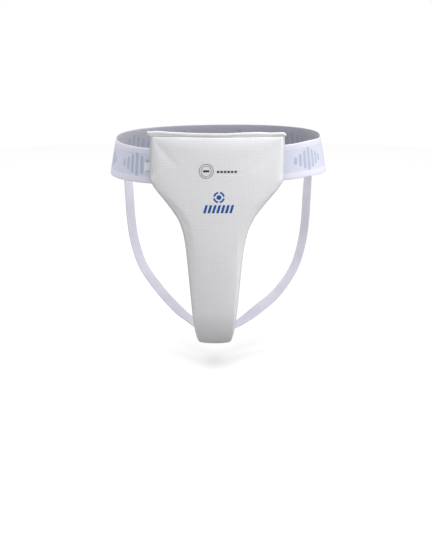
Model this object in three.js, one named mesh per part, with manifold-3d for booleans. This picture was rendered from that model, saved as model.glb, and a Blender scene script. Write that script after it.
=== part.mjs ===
// Groin protector, worn by women in karate: a padded shield that narrows to a tongue between the legs,
// held by one elastic waistband and two elastic leg straps.
//
// Millimetres. +Y points to the wearer's back and +Z is up. Seen from the front +X is to the right, and
// names that end in right or left are meant that way too.
// The origin is the centre of the waist opening, half way up the waistband.

import * as THREE from 'three';
import { mergeVertices } from 'three/addons/utils/BufferGeometryUtils.js';
import Module from 'manifold-3d';

const wasm = await Module();
wasm.setup();

// ---------------------------------------------------------------- driving dimensions

const GAP = 0.4;                    // clearance between pieces that touch on the real object
const CUT_PAST = 1;                 // how far a cutting solid runs past the surface that it opens

// shield, measured along the middle of its front face from the top edge down to the tongue's end
const SHIELD_TOP = { y: -131, z: 53.5 };
const SHIELD_HALF_WIDTH = 90.5;     // straight upper part
const FLARE_START = 68;             // where the straight sides end
const FLARE_END = 170;              // where the sides have run into the tongue
const FLARE_SIZE = 45.3;            // how far the flare adds to each side of the tongue at its start
const FLARE_POWER = 2.2;
const CORNER_SOFTNESS = 1.6;        // rounds the corner between straight side and flare
const TONGUE_HALF_WIDTH = 37.2;     // at FLARE_END
const TONGUE_TAPER = 0.08;          // loss of half width per millimetre of length
const TONGUE_END_RADIUS = 9;
const WRAP_RADIUS = 380;            // the shield is curved round the belly
const DEGREE = Math.PI / 180;
const START_ANGLE = -2 * DEGREE;    // the upper face leans forward a little on its way down
// the centre line is a chain of arcs: length, and how far each turns under the body
const CENTRE_LINE = [
  { length: 80, turn: 0 },
  { length: 70, turn: 4 * DEGREE },
  { length: 102, turn: 9 * DEGREE },
  { length: 100, turn: 73 * DEGREE },
];
const SHIELD_LENGTH = CENTRE_LINE.reduce((sum, arc) => sum + arc.length, 0);

// layers of the shield, as depth behind the front face at the middle of the shield
const COVER_THICKNESS = 1.0;
const OUTER_FOAM = { front: 1.4, back: 9.4 };
const PLATE = { front: 9.8, back: 11.8 };
const COMFORT_FOAM = { front: 12.2, back: 17.2 };
const LINING = { front: 17.6, back: 18.6 };
const TONGUE_DEPTH_SCALE = 0.7;     // the layers thin down to this share at the tongue's end
const TAPER_START = 150;
const CROWN = 4.6;                  // the face drops this much from its middle to its sides
const EDGE_DROP = 5.4;              // and this much into the top seam and round the tongue's end
const EDGE_LENGTH = 5;

// top seam: the cover and the lining come together in a folded binding
const SEAM_HEIGHT = 6.4;            // the padding starts this far below the top edge
const COVER_FLANGE = { front: 6.2, back: 7.2 };
const LINING_FLANGE = { front: 7.6, back: 8.6 };
const FLANGE_TOP = 1.4;
const BINDING = { front: 5.0, back: 9.8, wall: 0.8, below: 5.4, overhang: 2.6 };

// waistband
const BAND_WIDTH = 50;
const BAND_THICKNESS = 1.6;
const BAND_FLARE = 9.5 * DEGREE;    // the band's lower edge stands out
const WAIST_HALF_WIDTH = 146.6;
const WAIST_BACK_DEPTH = 92;
const WAIST_FRONT_DEPTH = 118;
const WAIST_SQUARENESS = 2.3;       // exponent of the waist's superellipse
const BAND_LEAVES_SHIELD = 92;      // outside this half width the band follows the waist
const BAND_END = 46;                // half distance between the two sewn ends
const BAND_OFF_LINING = 2.6;        // room between lining and band for the seam and the label
const BAND_ON_SHIELD = [BAND_END, 60, 74];   // half distances where the band rests on the shield
const WAIST_STOPS = 18;             // stops round half of the waist

// leg straps
const STRAP_WIDTH = 15;
const STRAP_THICKNESS = 1.4;
const STRAP_ON_WAIST = 129;         // half distance between the straps at the waistband
const STRAP_OFF_BAND = 1.3;         // room for the flat strap inside the curved band
const STRAP_ON_BAND = 24;           // length sewn to the band, from the band's lower edge up
const STRAP_FACING = 34 * DEGREE;   // how far a hanging strap's face is turned outwards
// hanging stretch of the right-hand strap: half distance, depth and height of its middle
const STRAP_ROUTE = [
  [127.5, 49, -72],
  [125, 45, -107],
  [119, 38, -141],
  [106.5, 24, -173],
  [82, 3, -203],
  [55, -18, -224],
  [34, -34, -236.5],
];
const STRAP_ON_TONGUE = { x: 13, from: SHIELD_LENGTH - 3, to: SHIELD_LENGTH - 24, spread: 3, clear: 2 };
const STRAP_BELOW_BAND = 2;         // where the strap has left the band's lower edge
const STRAP_TURN = 0.35;            // share of its turn towards the tongue that it makes beside it

// sewing thread and small trim
const THREAD_RADIUS = 0.45;
const TOP_SEAM_ABOVE_FOLD = 2;      // height of the top seam above the binding's lower edge
const BACK_SEAM_INSET = 4;
const BAND_BOX = { fromEnd: 14, halfLength: 8, margin: 5 };
const STRAP_BOX = { middle: 0.48, halfLength: 0.36, margin: 2.5 };   // shares of the sewn length
const PATCH_SEAM_INSET = 2.5;
const PLATE_INSET = 6;
const PATCH = {
  halfWidth: 21.5, from: SHIELD_LENGTH - 30, to: SHIELD_LENGTH - 6, thickness: 0.8, offStraps: 1,
};
const CARE_LABEL = { height: 11, length: 14, proud: 6, thickness: 0.5, below: 52 };

// how finely the surfaces are divided
const COLUMNS = 9;
const ROW_STEP = 14;
const END_ROWS = 4;
const THREAD_SIDES = 5;
const BAND_STEPS = 84;
const STRAP_STEPS = 44;
const PATCH_COLUMNS = 6;
const PATCH_ROWS = 4;
const TOP_SEAM_STEPS = 24;
const BACK_SEAM_STEPS = 110;
const BOX_STEPS = 32;
const BOX_POINTS = 4;               // points on each side of a stitched box

// ---------------------------------------------------------------- materials

function material(name, color, roughness) {
  const made = new THREE.MeshStandardMaterial({ color, roughness, metalness: 0 });
  made.name = name;
  return made;
}

const paint = {
  cover: () => material('embossed_synthetic_leather', 0xe6e7e7, 0.5),
  outerFoam: () => material('closed_cell_foam', 0xc9cdd2, 0.9),
  plate: () => material('polyethylene_sheet', 0xf0efe8, 0.45),
  comfortFoam: () => material('soft_foam', 0xe3ddc8, 0.95),
  lining: () => material('knitted_lining', 0xe9e9ee, 0.95),
  binding: () => material('binding_strip', 0xecedec, 0.55),
  elastic: () => material('woven_elastic', 0xdcdaea, 0.85),
  strap: () => material('narrow_elastic', 0xd8d5e4, 0.85),
  thread: () => material('white_thread', 0xf0f0f0, 0.8),
  label: () => material('woven_label', 0xf4f4f4, 0.8),
};

// ---------------------------------------------------------------- helpers

function clamp01(value) {
  return Math.min(1, Math.max(0, value));
}

function smoothStep(value) {
  const v = clamp01(value);
  return v * v * (3 - 2 * v);
}

// the smaller of two lengths, with the corner between them rounded
function smoothMin(a, b, softness) {
  return (a + b) / 2 - Math.hypot((a - b) / 2, softness);
}

// a box divided into columns, rows and one layer, with every vertex put in its place by
// place(across -1..1, row 0..rows, layer 0..1)
function formedSlab(columns, rows, place) {
  const box = new THREE.BoxGeometry(2, 1, 1, columns, rows, 1);
  const position = box.attributes.position;
  const point = new THREE.Vector3();
  for (let i = 0; i < position.count; i += 1) {
    point.fromBufferAttribute(position, i);
    const row = Math.round((point.y + 0.5) * rows);
    const placed = place(point.x, row, point.z + 0.5);
    position.setXYZ(i, placed.x, placed.y, placed.z);
  }
  box.deleteAttribute('normal');
  box.deleteAttribute('uv');
  return mergeVertices(box, 1e-4);
}

function toManifold(geometry) {
  const merged = geometry.clone();
  merged.deleteAttribute('normal');
  merged.deleteAttribute('uv');
  const welded = mergeVertices(merged, 1e-4);
  return new wasm.Manifold(new wasm.Mesh({
    numProp: 3,
    vertProperties: new Float32Array(welded.attributes.position.array),
    triVerts: new Uint32Array(welded.index.array),
  }));
}

function fromManifold(solid) {
  const mesh = solid.getMesh();
  const geometry = new THREE.BufferGeometry();
  geometry.setAttribute('position', new THREE.BufferAttribute(mesh.vertProperties, 3));
  geometry.setIndex(new THREE.BufferAttribute(mesh.triVerts, 1));
  return geometry;
}

function piece(name, geometry, look) {
  geometry.computeVertexNormals();
  const made = new THREE.Mesh(geometry, look);
  made.name = name;
  return made;
}

// a run of sewing thread through the points, as one closed tube
function thread(points, steps) {
  const section = new THREE.Shape();
  for (let i = 0; i < THREAD_SIDES; i += 1) {
    const angle = (i / THREAD_SIDES) * 2 * Math.PI;
    const corner = [THREAD_RADIUS * Math.cos(angle), THREAD_RADIUS * Math.sin(angle)];
    if (i === 0) section.moveTo(...corner);
    else section.lineTo(...corner);
  }
  section.closePath();
  const path = new THREE.CatmullRomCurve3(points, false, 'centripetal');
  return new THREE.ExtrudeGeometry(section, { steps, extrudePath: path, bevelEnabled: false });
}

// points round a rectangle, stopping short of where they began; at(u, v) places one point
function stitchedBox(halfU, halfV, at) {
  const corners = [[-1, -1], [1, -1], [1, 1], [-1, 1]];
  const points = [];
  corners.forEach((corner, side) => {
    const next = corners[(side + 1) % corners.length];
    for (let i = 0; i < BOX_POINTS; i += 1) {
      const part = i / BOX_POINTS;
      const u = corner[0] + (next[0] - corner[0]) * part;
      const v = corner[1] + (next[1] - corner[1]) * part;
      points.push(at(u * halfU, v * halfV));
    }
  });
  return points;
}

// ---------------------------------------------------------------- the shield's surface

// the middle of the front face at length s from the top edge
function centreLine(s) {
  let { y, z } = SHIELD_TOP;
  let angle = START_ANGLE;
  let left = s;
  for (const arc of CENTRE_LINE) {
    const last = arc === CENTRE_LINE[CENTRE_LINE.length - 1];
    const run = last ? left : Math.min(left, arc.length);
    const bend = arc.turn / arc.length;
    const next = angle + run * bend;
    if (bend === 0) {
      y += run * Math.sin(angle);
      z -= run * Math.cos(angle);
    } else {
      y += (Math.cos(angle) - Math.cos(next)) / bend;
      z -= (Math.sin(next) - Math.sin(angle)) / bend;
    }
    angle = next;
    left -= run;
    if (left <= 0) break;
  }
  return { y, z, angle };
}

// a point of the shield: x from the middle, s along the centre line, depth behind the front face
function shieldPoint(x, s, depth) {
  const middle = centreLine(s);
  const back = depth + (x * x) / (2 * WRAP_RADIUS);
  return new THREE.Vector3(
    x,
    middle.y + back * Math.cos(middle.angle),
    middle.z + back * Math.sin(middle.angle),
  );
}

function outlineHalfWidth(s) {
  const tongue = TONGUE_HALF_WIDTH + TONGUE_TAPER * (FLARE_END - s);
  const reach = clamp01((FLARE_END - s) / (FLARE_END - FLARE_START));
  const flared = s < FLARE_START
    ? tongue + FLARE_SIZE + (FLARE_START - s)
    : tongue + FLARE_SIZE * reach ** FLARE_POWER;
  return smoothMin(SHIELD_HALF_WIDTH, flared, CORNER_SOFTNESS);
}

// half width of a layer that stays inset from the outline, with the tongue's end rounded
function layerHalfWidth(s, inset) {
  const half = outlineHalfWidth(s) - inset;
  const radius = TONGUE_END_RADIUS - inset;
  const into = s - (SHIELD_LENGTH - inset - radius);
  if (into <= 0) return half;
  return half - radius + Math.sqrt(Math.max(0, radius ** 2 - into ** 2));
}

function depthScale(s) {
  const share = smoothStep((s - TAPER_START) / (SHIELD_LENGTH - TAPER_START));
  return 1 - (1 - TONGUE_DEPTH_SCALE) * share;
}

// how far the padded front has fallen away from the middle of the face
function frontDrop(across, s) {
  const crown = CROWN * across ** 4;
  const top = EDGE_DROP * Math.exp(-(s - SEAM_HEIGHT) / EDGE_LENGTH);
  const end = EDGE_DROP * Math.exp(-(SHIELD_LENGTH - s) / EDGE_LENGTH);
  return Math.min(EDGE_DROP, Math.hypot(crown, top, end));
}

// stations along the shield, shared by all layers: even steps, then closer ones round the tongue's end
function stations(from, inset) {
  const radius = TONGUE_END_RADIUS - inset;
  const roundStart = SHIELD_LENGTH - TONGUE_END_RADIUS;
  const list = [from];
  const margin = ROW_STEP / 3;
  for (let s = ROW_STEP; s < roundStart - margin; s += ROW_STEP) {
    if (s > from + margin) list.push(s);
  }
  for (let i = 0; i <= END_ROWS; i += 1) {
    list.push(roundStart + radius * Math.sin((i / END_ROWS) * (Math.PI / 2)));
  }
  return list;
}

// one layer of the shield between two depths; padded layers follow the crowned front
function layer({ from, inset, front, back, paddedFront }) {
  const rows = stations(from, inset);
  return formedSlab(COLUMNS, rows.length - 1, (column, row, side) => {
    const s = rows[row];
    const across = Math.sin((column * Math.PI) / 2);
    const x = across * layerHalfWidth(s, inset);
    const drop = paddedFront && side === 0 ? frontDrop(across, s) : 0;
    const depth = side === 0 ? front + drop : back;
    return shieldPoint(x, s, depth * depthScale(s));
  });
}

// a strip across the shield's top, such as a seam flange or the binding's fold
function topStrip(from, to, front, back, halfWidth) {
  return formedSlab(COLUMNS, 1, (column, row, side) => {
    const s = row === 0 ? from : to;
    return shieldPoint(column * halfWidth, s, side === 0 ? front : back);
  });
}

// ---------------------------------------------------------------- shield pieces

function frontCover() {
  const outside = layer({
    from: SEAM_HEIGHT, inset: 0, front: 0, back: LINING.back, paddedFront: true,
  });
  const hollow = layer({
    from: SEAM_HEIGHT + COVER_THICKNESS,
    inset: COVER_THICKNESS,
    front: COVER_THICKNESS,
    back: LINING.back + CUT_PAST,
    paddedFront: true,
  });
  // behind the seam flange the top is closed by the lining instead
  const liningSide = topStrip(
    SEAM_HEIGHT - CUT_PAST,
    SEAM_HEIGHT + COVER_THICKNESS + CUT_PAST,
    COVER_FLANGE.back,
    LINING.back + CUT_PAST,
    SHIELD_HALF_WIDTH - COVER_THICKNESS,
  );
  const flange = topStrip(
    FLANGE_TOP,
    SEAM_HEIGHT + COVER_THICKNESS / 2,
    COVER_FLANGE.front,
    COVER_FLANGE.back,
    SHIELD_HALF_WIDTH - COVER_THICKNESS,
  );
  const solid = toManifold(outside)
    .subtract(toManifold(hollow))
    .subtract(toManifold(liningSide))
    .add(toManifold(flange));
  return piece('front_cover', fromManifold(solid), paint.cover());
}

function outerFoam() {
  const geometry = layer({
    from: SEAM_HEIGHT + COVER_THICKNESS + GAP,
    inset: COVER_THICKNESS + GAP,
    front: OUTER_FOAM.front,
    back: OUTER_FOAM.back,
    paddedFront: true,
  });
  return piece('outer_foam', geometry, paint.outerFoam());
}

function protectivePlate() {
  const geometry = layer({
    from: SEAM_HEIGHT + PLATE_INSET,
    inset: PLATE_INSET,
    front: PLATE.front,
    back: PLATE.back,
    paddedFront: false,
  });
  return piece('protective_plate', geometry, paint.plate());
}

function comfortFoam() {
  const geometry = layer({
    from: SEAM_HEIGHT + COVER_THICKNESS + GAP,
    inset: COVER_THICKNESS + GAP,
    front: COMFORT_FOAM.front,
    back: COMFORT_FOAM.back,
    paddedFront: false,
  });
  return piece('comfort_foam', geometry, paint.comfortFoam());
}

function backLining() {
  const half = SHIELD_HALF_WIDTH - COVER_THICKNESS - CORNER_SOFTNESS - GAP;
  const panel = layer({
    from: SEAM_HEIGHT,
    inset: COVER_THICKNESS + GAP,
    front: LINING.front,
    back: LINING.back,
    paddedFront: false,
  });
  const topWall = topStrip(
    SEAM_HEIGHT, SEAM_HEIGHT + COVER_THICKNESS, LINING_FLANGE.front, LINING.back, half,
  );
  const flange = topStrip(
    FLANGE_TOP, SEAM_HEIGHT + COVER_THICKNESS / 2, LINING_FLANGE.front, LINING_FLANGE.back, half,
  );
  const solid = toManifold(panel).add(toManifold(topWall)).add(toManifold(flange));
  return piece('back_lining', fromManifold(solid), paint.lining());
}

function topBinding() {
  const half = SHIELD_HALF_WIDTH + BINDING.overhang;
  const fold = topStrip(0, BINDING.below, BINDING.front, BINDING.back, half);
  const slot = topStrip(
    BINDING.wall,
    BINDING.below + CUT_PAST,
    BINDING.front + BINDING.wall,
    BINDING.back - BINDING.wall,
    half + CUT_PAST,
  );
  return piece('top_binding', fromManifold(toManifold(fold).subtract(toManifold(slot))), paint.binding());
}

function topSeamThread() {
  const s = BINDING.below - TOP_SEAM_ABOVE_FOLD;
  const depth = BINDING.front - GAP - THREAD_RADIUS;
  const count = TOP_SEAM_STEPS / 2;
  const points = [];
  for (let i = 0; i <= count; i += 1) {
    points.push(shieldPoint(((2 * i) / count - 1) * SHIELD_HALF_WIDTH, s, depth));
  }
  return piece('top_seam_thread', thread(points, TOP_SEAM_STEPS), paint.thread());
}

function backSeamThread() {
  const clear = GAP + THREAD_RADIUS;
  const inset = BACK_SEAM_INSET;
  const rows = stations(SEAM_HEIGHT + inset, inset);
  const depth = (s) => LINING.back * depthScale(s) + clear;
  const side = (sign) => rows.map((s) => shieldPoint(sign * layerHalfWidth(s, inset), s, depth(s)));
  const points = [...side(-1), ...side(1).reverse()];
  return piece('back_seam_thread', thread(points, BACK_SEAM_STEPS), paint.thread());
}

// ---------------------------------------------------------------- waistband

// plan of the waist at mid height, by the angle round it from the middle of the back
function waistPoint(angle) {
  const power = 2 / WAIST_SQUARENESS;
  const sine = Math.sin(angle);
  const cosine = Math.cos(angle);
  const depth = cosine > 0 ? WAIST_BACK_DEPTH : WAIST_FRONT_DEPTH;
  return new THREE.Vector3(
    WAIST_HALF_WIDTH * Math.sign(sine) * Math.abs(sine) ** power,
    depth * Math.sign(cosine) * Math.abs(cosine) ** power,
    0,
  );
}

// behind the shield the band lies on the lining
function behindShield(x, clearance) {
  const atBandHeight = SHIELD_TOP.z / Math.cos(START_ANGLE);
  const point = shieldPoint(x, atBandHeight, LINING.back + clearance);
  return new THREE.Vector3(x, point.y, 0);
}

function bandCurve() {
  const half = BAND_ON_SHIELD.map((x) => behindShield(x, BAND_OFF_LINING + BAND_THICKNESS / 2));
  for (let i = WAIST_STOPS; i > 0; i -= 1) {
    const point = waistPoint((i / WAIST_STOPS) * Math.PI);
    if (point.y > 0 || point.x > BAND_LEAVES_SHIELD) half.push(point);
  }
  const mirrored = half.map((p) => new THREE.Vector3(-p.x, p.y, p.z)).reverse();
  return new THREE.CatmullRomCurve3([...half, waistPoint(0), ...mirrored], false, 'centripetal');
}

const BAND_CURVE = bandCurve();

// tangent and outward direction of the band's plan at share u of its length
function bandFrame(u) {
  const middle = BAND_CURVE.getPointAt(clamp01(u));
  const along = BAND_CURVE.getTangentAt(clamp01(u));
  const out = new THREE.Vector3(along.y, -along.x, 0).normalize();
  // where the band lies flat on the shield it only leans as the shield does
  const leaving = (Math.abs(middle.x) - SHIELD_HALF_WIDTH) / (WAIST_HALF_WIDTH - SHIELD_HALF_WIDTH);
  const share = middle.y < 0 ? smoothStep(leaving) : 1;
  const flare = THREE.MathUtils.lerp(-START_ANGLE, BAND_FLARE, share);
  return { middle, out: out.dot(middle) < 0 ? out.negate() : out, flare };
}

// a point of the band: u along it, height from its middle, proud of its middle surface
function bandPoint(u, height, proud) {
  const { middle, out, flare } = bandFrame(u);
  const lean = proud - height * Math.tan(flare);
  return middle.clone().addScaledVector(out, lean).setZ(height);
}

function waistbandElastic() {
  const geometry = formedSlab(2, BAND_STEPS, (across, row, side) => bandPoint(
    row / BAND_STEPS,
    (across * BAND_WIDTH) / 2,
    (0.5 - side) * BAND_THICKNESS,
  ));
  return piece('waistband_elastic', geometry, paint.elastic());
}

// the share of the band's length where its plan reaches a given x on the back half
function bandShareAt(x) {
  let low = 0;
  let high = 0.5;
  const halvings = 40;
  for (let i = 0; i < halvings; i += 1) {
    const u = (low + high) / 2;
    const point = BAND_CURVE.getPointAt(u);
    if (point.y < 0 || point.x > Math.abs(x)) low = u;
    else high = u;
  }
  return x > 0 ? low : 1 - low;
}

function waistbandStitching(sign, name) {
  const length = BAND_CURVE.getLength();
  const centre = BAND_BOX.fromEnd / length;
  const halfHeight = BAND_WIDTH / 2 - BAND_BOX.margin;
  const points = stitchedBox(BAND_BOX.halfLength, halfHeight, (along, height) => {
    const u = sign > 0 ? centre + along / length : 1 - centre - along / length;
    return bandPoint(u, height, -(BAND_THICKNESS / 2 + GAP + THREAD_RADIUS));
  });
  return piece(name, thread(points, BOX_STEPS), paint.thread());
}

// ---------------------------------------------------------------- leg straps

// the strap's middle line with the direction that its outer face looks in, from waistband to tongue
function strapRoute(sign) {
  const u = bandShareAt(sign * STRAP_ON_WAIST);
  const { out } = bandFrame(u);
  const inside = -(BAND_THICKNESS / 2 + STRAP_OFF_BAND + STRAP_THICKNESS / 2);
  const lowerEdge = -BAND_WIDTH / 2;
  const onBand = [
    lowerEdge + STRAP_ON_BAND,
    lowerEdge + STRAP_ON_BAND / 2,
    lowerEdge - STRAP_BELOW_BAND,
  ];
  const hanging = new THREE.Vector3(sign * Math.sin(STRAP_FACING), Math.cos(STRAP_FACING), 0);
  const under = LINING.back * depthScale(STRAP_ON_TONGUE.to) + STRAP_ON_TONGUE.clear + STRAP_THICKNESS / 2;
  const tongue = [STRAP_ON_TONGUE.from, STRAP_ON_TONGUE.to].map((s, i) => ({
    point: shieldPoint(sign * (STRAP_ON_TONGUE.x - i * STRAP_ON_TONGUE.spread), s, under),
    face: new THREE.Vector3(0, -Math.cos(centreLine(s).angle), -Math.sin(centreLine(s).angle)),
  }));
  const last = STRAP_ROUTE.length - 1;
  const stops = [
    ...onBand.map((height) => ({ point: bandPoint(u, height, inside), face: out.clone() })),
    ...STRAP_ROUTE.map(([x, y, z], i) => ({
      point: new THREE.Vector3(sign * x, y, z),
      face: i < last ? hanging.clone() : hanging.clone().lerp(tongue[0].face, STRAP_TURN),
    })),
    ...tongue,
  ];
  return {
    path: new THREE.CatmullRomCurve3(stops.map((stop) => stop.point), false, 'centripetal'),
    faces: stops.map((stop) => stop.face.normalize()),
  };
}

// place and frame of the strap at parameter w along the route
function strapFrame(route, w) {
  const { path, faces } = route;
  const index = Math.min(Math.floor(w * (faces.length - 1)), faces.length - 2);
  const between = w * (faces.length - 1) - index;
  const along = path.getTangent(w);
  const face = faces[index].clone().lerp(faces[index + 1], smoothStep(between));
  face.addScaledVector(along, -face.dot(along)).normalize();
  const wide = new THREE.Vector3().crossVectors(face, along).normalize();
  return { middle: path.getPoint(w), face, wide };
}

function strapPoint(route, w, across, proud) {
  const { middle, face, wide } = strapFrame(route, w);
  return middle.addScaledVector(wide, across).addScaledVector(face, proud);
}

function legStrap(sign, name) {
  const route = strapRoute(sign);
  const geometry = formedSlab(1, STRAP_STEPS, (across, row, side) => strapPoint(
    route,
    row / STRAP_STEPS,
    (-across * STRAP_WIDTH) / 2,
    (side - 0.5) * STRAP_THICKNESS,
  ));
  return piece(name, geometry, paint.strap());
}

function legStrapStitching(sign, name) {
  const route = strapRoute(sign);
  const clear = -(STRAP_THICKNESS / 2 + GAP + THREAD_RADIUS);
  // the strap is sewn down over the first two stretches of its route
  const sewn = 2 / (route.faces.length - 1);
  const halfWidth = STRAP_WIDTH / 2 - STRAP_BOX.margin;
  const points = stitchedBox(halfWidth, sewn * STRAP_BOX.halfLength, (across, along) => (
    strapPoint(route, sewn * STRAP_BOX.middle + along, across, clear)
  ));
  return piece(name, thread(points, BOX_STEPS), paint.thread());
}

// ---------------------------------------------------------------- patch and label

// the patch lies over the straps' sewn ends
const PATCH_DEPTH = LINING.back * depthScale(STRAP_ON_TONGUE.to)
  + STRAP_THICKNESS + STRAP_ON_TONGUE.clear + PATCH.offStraps;

function tonguePatch() {
  const geometry = formedSlab(PATCH_COLUMNS, PATCH_ROWS, (across, row, side) => {
    const s = PATCH.from + ((PATCH.to - PATCH.from) * row) / PATCH_ROWS;
    return shieldPoint(across * PATCH.halfWidth, s, PATCH_DEPTH + side * PATCH.thickness);
  });
  return piece('tongue_end_patch', geometry, paint.lining());
}

function tonguePatchThread() {
  const middle = (PATCH.from + PATCH.to) / 2;
  const halfLength = (PATCH.to - PATCH.from) / 2 - PATCH_SEAM_INSET;
  const depth = PATCH_DEPTH + PATCH.thickness + GAP + THREAD_RADIUS;
  const points = stitchedBox(PATCH.halfWidth - PATCH_SEAM_INSET, halfLength, (x, along) => (
    shieldPoint(x, middle + along, depth)
  ));
  return piece('tongue_patch_thread', thread(points, BOX_STEPS), paint.thread());
}

function careLabel() {
  const depth = LINING.back + 2 * (GAP + THREAD_RADIUS);
  const outer = SHIELD_HALF_WIDTH + CARE_LABEL.proud;
  const geometry = formedSlab(3, 1, (across, row, side) => {
    const x = -outer + ((across + 1) / 2) * CARE_LABEL.length;
    const s = CARE_LABEL.below + row * CARE_LABEL.height;
    return shieldPoint(x, s, depth + side * CARE_LABEL.thickness);
  });
  return piece('care_label', geometry, paint.label());
}

// ---------------------------------------------------------------- assembly

const shield = new THREE.Group();
shield.add(
  frontCover(),
  outerFoam(),
  protectivePlate(),
  comfortFoam(),
  backLining(),
  topBinding(),
  topSeamThread(),
  backSeamThread(),
  tonguePatch(),
  tonguePatchThread(),
  careLabel(),
);

const harness = new THREE.Group();
harness.add(
  waistbandElastic(),
  waistbandStitching(1, 'waistband_stitching_right'),
  waistbandStitching(-1, 'waistband_stitching_left'),
  legStrap(1, 'leg_strap_right'),
  legStrap(-1, 'leg_strap_left'),
  legStrapStitching(1, 'leg_strap_stitching_right'),
  legStrapStitching(-1, 'leg_strap_stitching_left'),
);

const groinProtector = new THREE.Group();
groinProtector.add(shield, harness);

export default groinProtector;
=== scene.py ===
"""Groin protector: a padded shield in embossed synthetic leather, a woven waistband and two leg straps.

Lengths are written in millimetres and turned into Blender's metres where meshes and lights are made.
The surface of the shield, the waistband's plan and the straps' routes repeat the CAD model's.
"""
import math

import bpy
import numpy as np
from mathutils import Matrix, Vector, noise
from mathutils.bvhtree import BVHTree


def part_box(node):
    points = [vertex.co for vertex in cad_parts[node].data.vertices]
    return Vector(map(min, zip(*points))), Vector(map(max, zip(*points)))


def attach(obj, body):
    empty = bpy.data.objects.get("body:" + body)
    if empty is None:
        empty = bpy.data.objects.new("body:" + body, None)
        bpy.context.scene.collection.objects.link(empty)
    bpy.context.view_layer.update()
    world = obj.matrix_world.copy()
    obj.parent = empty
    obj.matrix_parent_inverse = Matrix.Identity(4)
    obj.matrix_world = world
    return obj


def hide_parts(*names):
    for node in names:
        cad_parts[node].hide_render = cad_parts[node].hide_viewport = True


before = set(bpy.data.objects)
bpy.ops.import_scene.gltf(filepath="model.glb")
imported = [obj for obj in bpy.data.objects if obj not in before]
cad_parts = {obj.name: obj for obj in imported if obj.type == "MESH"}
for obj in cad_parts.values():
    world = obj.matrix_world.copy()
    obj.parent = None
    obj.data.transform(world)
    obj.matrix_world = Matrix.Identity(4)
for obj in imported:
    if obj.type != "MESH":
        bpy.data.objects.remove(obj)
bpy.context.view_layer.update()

MM = 0.001
PI = math.pi


def box_mm(node):
    """Lowest and highest corner of a CAD node, in millimetres."""
    low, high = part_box(node)
    return low / MM, high / MM


# ------------------------------------------------------------------ driving dimensions

COVER_LOW, COVER_HIGH = box_mm("front_cover")
BAND_LOW, BAND_HIGH = box_mm("waistband_elastic")
BINDING_HIGH = box_mm("top_binding")[1]

# shield, by the length s along the middle of its front face
SHIELD_TOP_Z = BINDING_HIGH.z + 0.2
SHIELD_TOP_Y = COVER_LOW.y + 2.8
SHIELD_HALF_WIDTH = COVER_HIGH.x
FLARE_START = 68
FLARE_END = 170
FLARE_SIZE = 45.3
FLARE_POWER = 2.2
CORNER_SOFTNESS = 1.6
TONGUE_HALF_WIDTH = 37.2
TONGUE_TAPER = 0.08
TONGUE_END_RADIUS = 6.5
LEAST_END_RADIUS = 1.2   # for the layers inside
# the sewn cover is a little fuller than the CAD outline below the flare's corner
FULLNESS = ((58, 0.0), (70, 1.6), (81, 3.9), (118, 1.9), (150, 2.0), (190, 0.7), (352, 0.9))
WRAP_RADIUS = 380
START_ANGLE = math.radians(-2)
CENTRE_LINE = (
    (80, 0),
    (70, math.radians(4)),
    (102, math.radians(9)),
    (100, math.radians(73)),
)
SHIELD_LENGTH = sum(length for length, turn in CENTRE_LINE)
TAPER_START = 150
TONGUE_DEPTH_SCALE = 0.7
# the shield hangs a little out of true: its tongue stands to the left of its top
LEAN_AT_TOP = -1.0
LEAN_OF_TONGUE = -3.8
LEAN_LENGTH = 190

# padded section
BACK_DEPTH = 18.6
SPLAY = 2.0              # the face is this much narrower than the back on each side
CROWN = 2.2
EDGE_ROUND = 3.0
TOP_DROP = 2.4           # the face rises from the top seam by this much
TOP_RISE = 20            # over this length
FOLD_OVER = 3.6          # how far the cover is turned in over the lining, inside the face's edge
SEAM_HEIGHT = 7.2        # length from the shield's top edge to the padding
COVER_THICKNESS = 0.9
LINING_THICKNESS = 0.8
SWELL_LIMIT = 2.0        # the padding may push the skin out by this much

# waistband
BAND_WIDTH = BAND_HIGH.z - BAND_LOW.z
BAND_THICKNESS = 1.6
BAND_FLARE = math.radians(9.5)
WAIST_HALF_WIDTH = BAND_HIGH.x - BAND_THICKNESS / 2 - math.tan(BAND_FLARE) * BAND_WIDTH / 2
WAIST_BACK_DEPTH = BAND_HIGH.y - BAND_THICKNESS / 2 - math.tan(BAND_FLARE) * BAND_WIDTH / 2
WAIST_FRONT_DEPTH = 118
WAIST_SQUARENESS = 2.3
BAND_LEAVES_SHIELD = 92
BAND_END = 46
BAND_BEHIND_SHIELD = (BAND_END, 60, 74)
BAND_OFF_LINING = 2.6
WAIST_STOPS = 18
UPPER_BORDER = 7.9
LOWER_BORDER = 9.3
# the band hangs lower on its left, most of all at the front, and its front is drawn up
BAND_ROLL = 0.011
BAND_ROLL_IN_FRONT = 0.015
BAND_RISE_IN_FRONT = 3.6
LOWER_GATHER = 0.94      # the lower half of a worn band is drawn up a little

# leg straps
STRAP_WIDTH = 15
STRAP_THICKNESS = 1.4
STRAP_ON_WAIST = 129
STRAP_ON_BAND = 24
STRAP_OFF_BAND = 1.3
STRAP_OFF_TONGUE = 2
STRAP_FACING = math.radians(38)
STRAP_SWAY = {1: 2.2, -1: -1.0}
STRAP_LIFT = {1: -0.4, -1: 3.5}
STRAP_ROUTE = (
    (127.5, 49, -72),
    (125, 45, -107),
    (119, 38, -141),
    (106.5, 24, -173),
    (82, 3, -203),
    (55, -18, -224),
    (34, -34, -236.5),
)
STRAP_TONGUE_X = 13
STRAP_TONGUE_FROM = SHIELD_LENGTH - 3
STRAP_TONGUE_TO = SHIELD_LENGTH - 24
STRAP_SPREAD = 3

# ------------------------------------------------------------------ small helpers


def clamp01(value):
    return min(1.0, max(0.0, value))


def smooth_step(value):
    v = clamp01(value)
    return v * v * (3 - 2 * v)


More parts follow.
